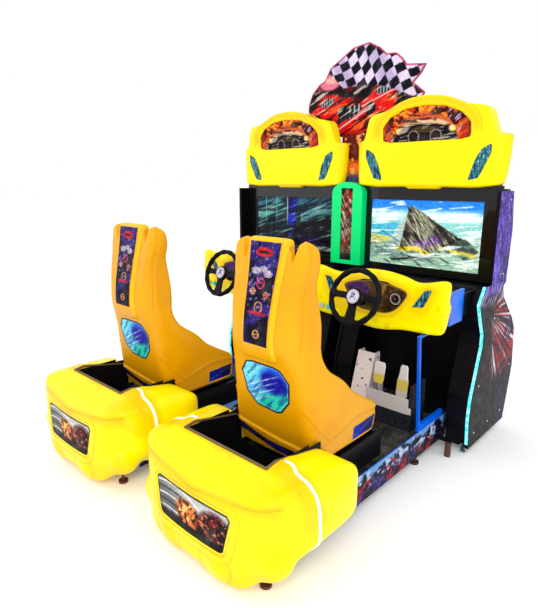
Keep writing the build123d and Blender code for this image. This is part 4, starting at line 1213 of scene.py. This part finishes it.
# ---------------------------------------------------------------- side panels
def side_picture(a, b):
    """Purple above, then white and red light streaks falling into black."""
    rgb = tint(a, (0.0, 0.0, 0.004))
    top = above(b, 0.9, 0.05)
    violet = over(tint(a, (0.22, 0.1, 0.55)), (0.36, 0.26, 0.74), spots(0.52, 0.1, a, b, 10.0, 4, 1))
    violet = over(violet, (0.12, 0.06, 0.3), spots(0.6, 0.06, a * 2, b, 20.0, 4, 4))
    violet = over(violet, (0.62, 0.5, 0.82), strokes(0.66, 0.05, a, b, -3.0, 60.0, 5))
    m = top[..., None]
    rgb = rgb * (1 - m) + violet * m
    way, far = np.arctan2(b - 0.8, a - 0.6), np.hypot(a - 0.6, b - 0.8)
    glow = above(a, 0.68, 0.16) * above(-np.abs(b - 0.66), -0.26, 0.12) * (1 - top)
    for seed, edge, tone in ((6, 0.52, (0.34, 0.04, 0.1)), (3, 0.6, (0.74, 0.12, 0.12)),
                             (8, 0.66, (0.86, 0.8, 0.88))):
        rgb = over(rgb, tone, above(fbm(way, far * 0.12, 26.0, 3, seed), edge, 0.05) * glow)
    rgb = over(rgb, (0.6, 0.56, 0.7), strokes(0.56, 0.05, a, b, 1.5, 50.0, 2) * line(b - 0.9, 0.05, 0.04))
    rgb = over(rgb, (0.1, 0.06, 0.26), strokes(0.55, 0.06, a, b, 0.7, 30.0, 9) * above(a, 0.86, 0.1) * 0.9)
    return crisp(rgb, a, b, 0.12, 170.0)


def skirt_picture(a, b):
    v = (b - 0.052) / 0.148
    rgb = tint(a, (0.07, 0.07, 0.22))
    rgb = layers(rgb, [
        ((0.24, 0.16, 0.48), spots(0.5, 0.08, a, b * 1.5, 14.0, 4, 1)),
        ((0.62, 0.1, 0.18), spots(0.57, 0.05, a, b * 1.3, 9.0, 4, 2) * above(-v, -0.8, 0.2)),
        ((0.02, 0.02, 0.05), above(np.abs(fbm(a, b, 22.0, 4, 5) - 0.5), 0.1, 0.04)),
        ((0.4, 0.58, 0.8), above(v + 0.8 * (fbm(a, b, 12.0, 3, 6) - 0.5), 0.84, 0.1)),
        ((0.66, 0.74, 0.86), spots(0.64, 0.04, a * 0.6, b, 40.0, 3, 8) * above(v, 0.4, 0.2))])
    return crisp(rgb, a, b, 0.3, 170.0)


side_art = sheet("side_art", PANEL_SIDE, 0.005, lambda a, b: (0 * a, a, b), side_picture)
skirt = [(-0.859, 0.053), (0.551, 0.053), (0.551, 0.199), (-0.859, 0.199)]
skirt_art = sheet("skirt_art", skirt, 0.005, lambda a, b: (0 * a, a, b), skirt_picture)
for unit, ux, side in UNITS:
    put("side_art_" + unit, side_art, "cabinet", PRINT, (ux + side * (SIDE_OUTER_X + FILM), 0, 0))
    for name, s in (("inner", -side), ("outer", side)):
        put("skirt_art_%s_%s" % (name, unit), skirt_art, "cabinet", PRINT,
            (ux + s * (SKIRT_OUTER_X + FILM), 0, 0))

# ---------------------------------------------------------------- carried-over CAD pieces
for unit, ux, side in UNITS:
    give("cabinet_carcass_" + unit, BLACK_BOARD)
    give("rear_door_" + unit, BLACK_BOARD, 0.001)
    give("wheel_badge_" + unit, BRIGHT, 0.0008)
    give("seat_carriage_" + unit, BLACK_STEEL)
    give("seat_lever_" + unit, STEEL)
    give("start_button_" + unit, LENS_CYAN, 0.002)
    give("view_button_" + unit, LENS_GREY, 0.002)
    for end in ("front", "rear"):
        give("caster_wheel_%s_%s" % (end, unit), TYRE, 0.002)
for node, mat, bevel in (("side_panels", BLACK_BOARD, 0.001), ("monitor_bezels", BEZEL, 0.001),
                         ("monitor_panels", BEZEL, 0.0), ("column_housing", GREEN, 0.004),
                         ("centre_artwork", BLACK_BOARD, 0.0), ("topper_panel", BLACK_BOARD, 0.001),
                         ("topper_posts", BLACK_STEEL, 0.001), ("steering_columns", BLACK_STEEL, 0.001),
                         ("dash_brackets", BLUE, 0.0015), ("pedal_boxes", PEDAL_BOX, 0.001),
                         ("footrests", FOOTREST, 0.0015), ("base_frames", BLACK_STEEL, 0.0),
                         ("seat_rails", BLACK_STEEL, 0.001), ("pod_trays", LINER, 0.001),
                         ("levelling_feet", FOOT, 0.002), ("caster_forks", STEEL, 0.0005),
                         ("panel_bolts", BRIGHT, 0.001), ("instrument_panels", BEZEL, 0.001),
                         ("floor_plates", PLATE, 0.0), ("base_side_panels", BLUE, 0.0),
                         ("accent_lamps", LENS, 0.0), ("edge_light_strips", CYAN_LIGHT, 0.002),
                         ("pod_light_strips", WHITE_LIGHT, 0.001)):
    give(node, mat, bevel)

# ---------------------------------------------------------------- floor, light, camera
FLOOR = 40.0
floor_mesh = bpy.data.meshes.new("floor")
floor_mesh.from_pydata([(-FLOOR, -FLOOR, 0), (FLOOR, -FLOOR, 0), (FLOOR, FLOOR, 0), (-FLOOR, FLOOR, 0)], [],
                       [(0, 1, 2, 3)])
floor = bpy.data.objects.new("floor", floor_mesh)
bpy.context.scene.collection.objects.link(floor)
g = Graph("floor_pale")
pale = g.mix(g.noise(3.0), (0.97, 0.97, 0.97), (0.95, 0.95, 0.95))
floor_mesh.materials.append(g.set(color=pale, rough=0.7, glow=pale, power=0.1))

world = bpy.data.worlds.new("studio")
bpy.context.scene.world = world
world.use_nodes = True
world.node_tree.nodes["Background"].inputs["Color"].default_value = (1, 1, 1, 1)
world.node_tree.nodes["Background"].inputs["Strength"].default_value = 1.0
bpy.context.scene.view_settings.view_transform = "Standard"


def lamp(name, at, target, size, power):
    data = bpy.data.lights.new(name, "AREA")
    data.size = size
    data.energy = power
    o = bpy.data.objects.new(name, data)
    o.location = at
    o.rotation_mode = "QUATERNION"
    o.rotation_quaternion = (Vector(target) - Vector(at)).to_track_quat("-Z", "Y")
    bpy.context.scene.collection.objects.link(o)


lamp("key", (3.0, -3.6, 3.6), (0, -0.1, 0.8), 2.0, 110)
lamp("fill", (-3.5, -3.0, 2.6), (0, -0.1, 0.9), 3.0, 25)

cam_data = bpy.data.cameras.new("camera")
cam = bpy.data.objects.new("camera", cam_data)
bpy.context.scene.collection.objects.link(cam)
cam_data.sensor_width = 36.0
cam_data.lens = 29.99
cam.location = (1.9, -2.121, 1.5)
cam.rotation_euler = (math.radians(90 - 13.702), math.radians(0.08), math.radians(43.107))
bpy.context.scene.camera = cam
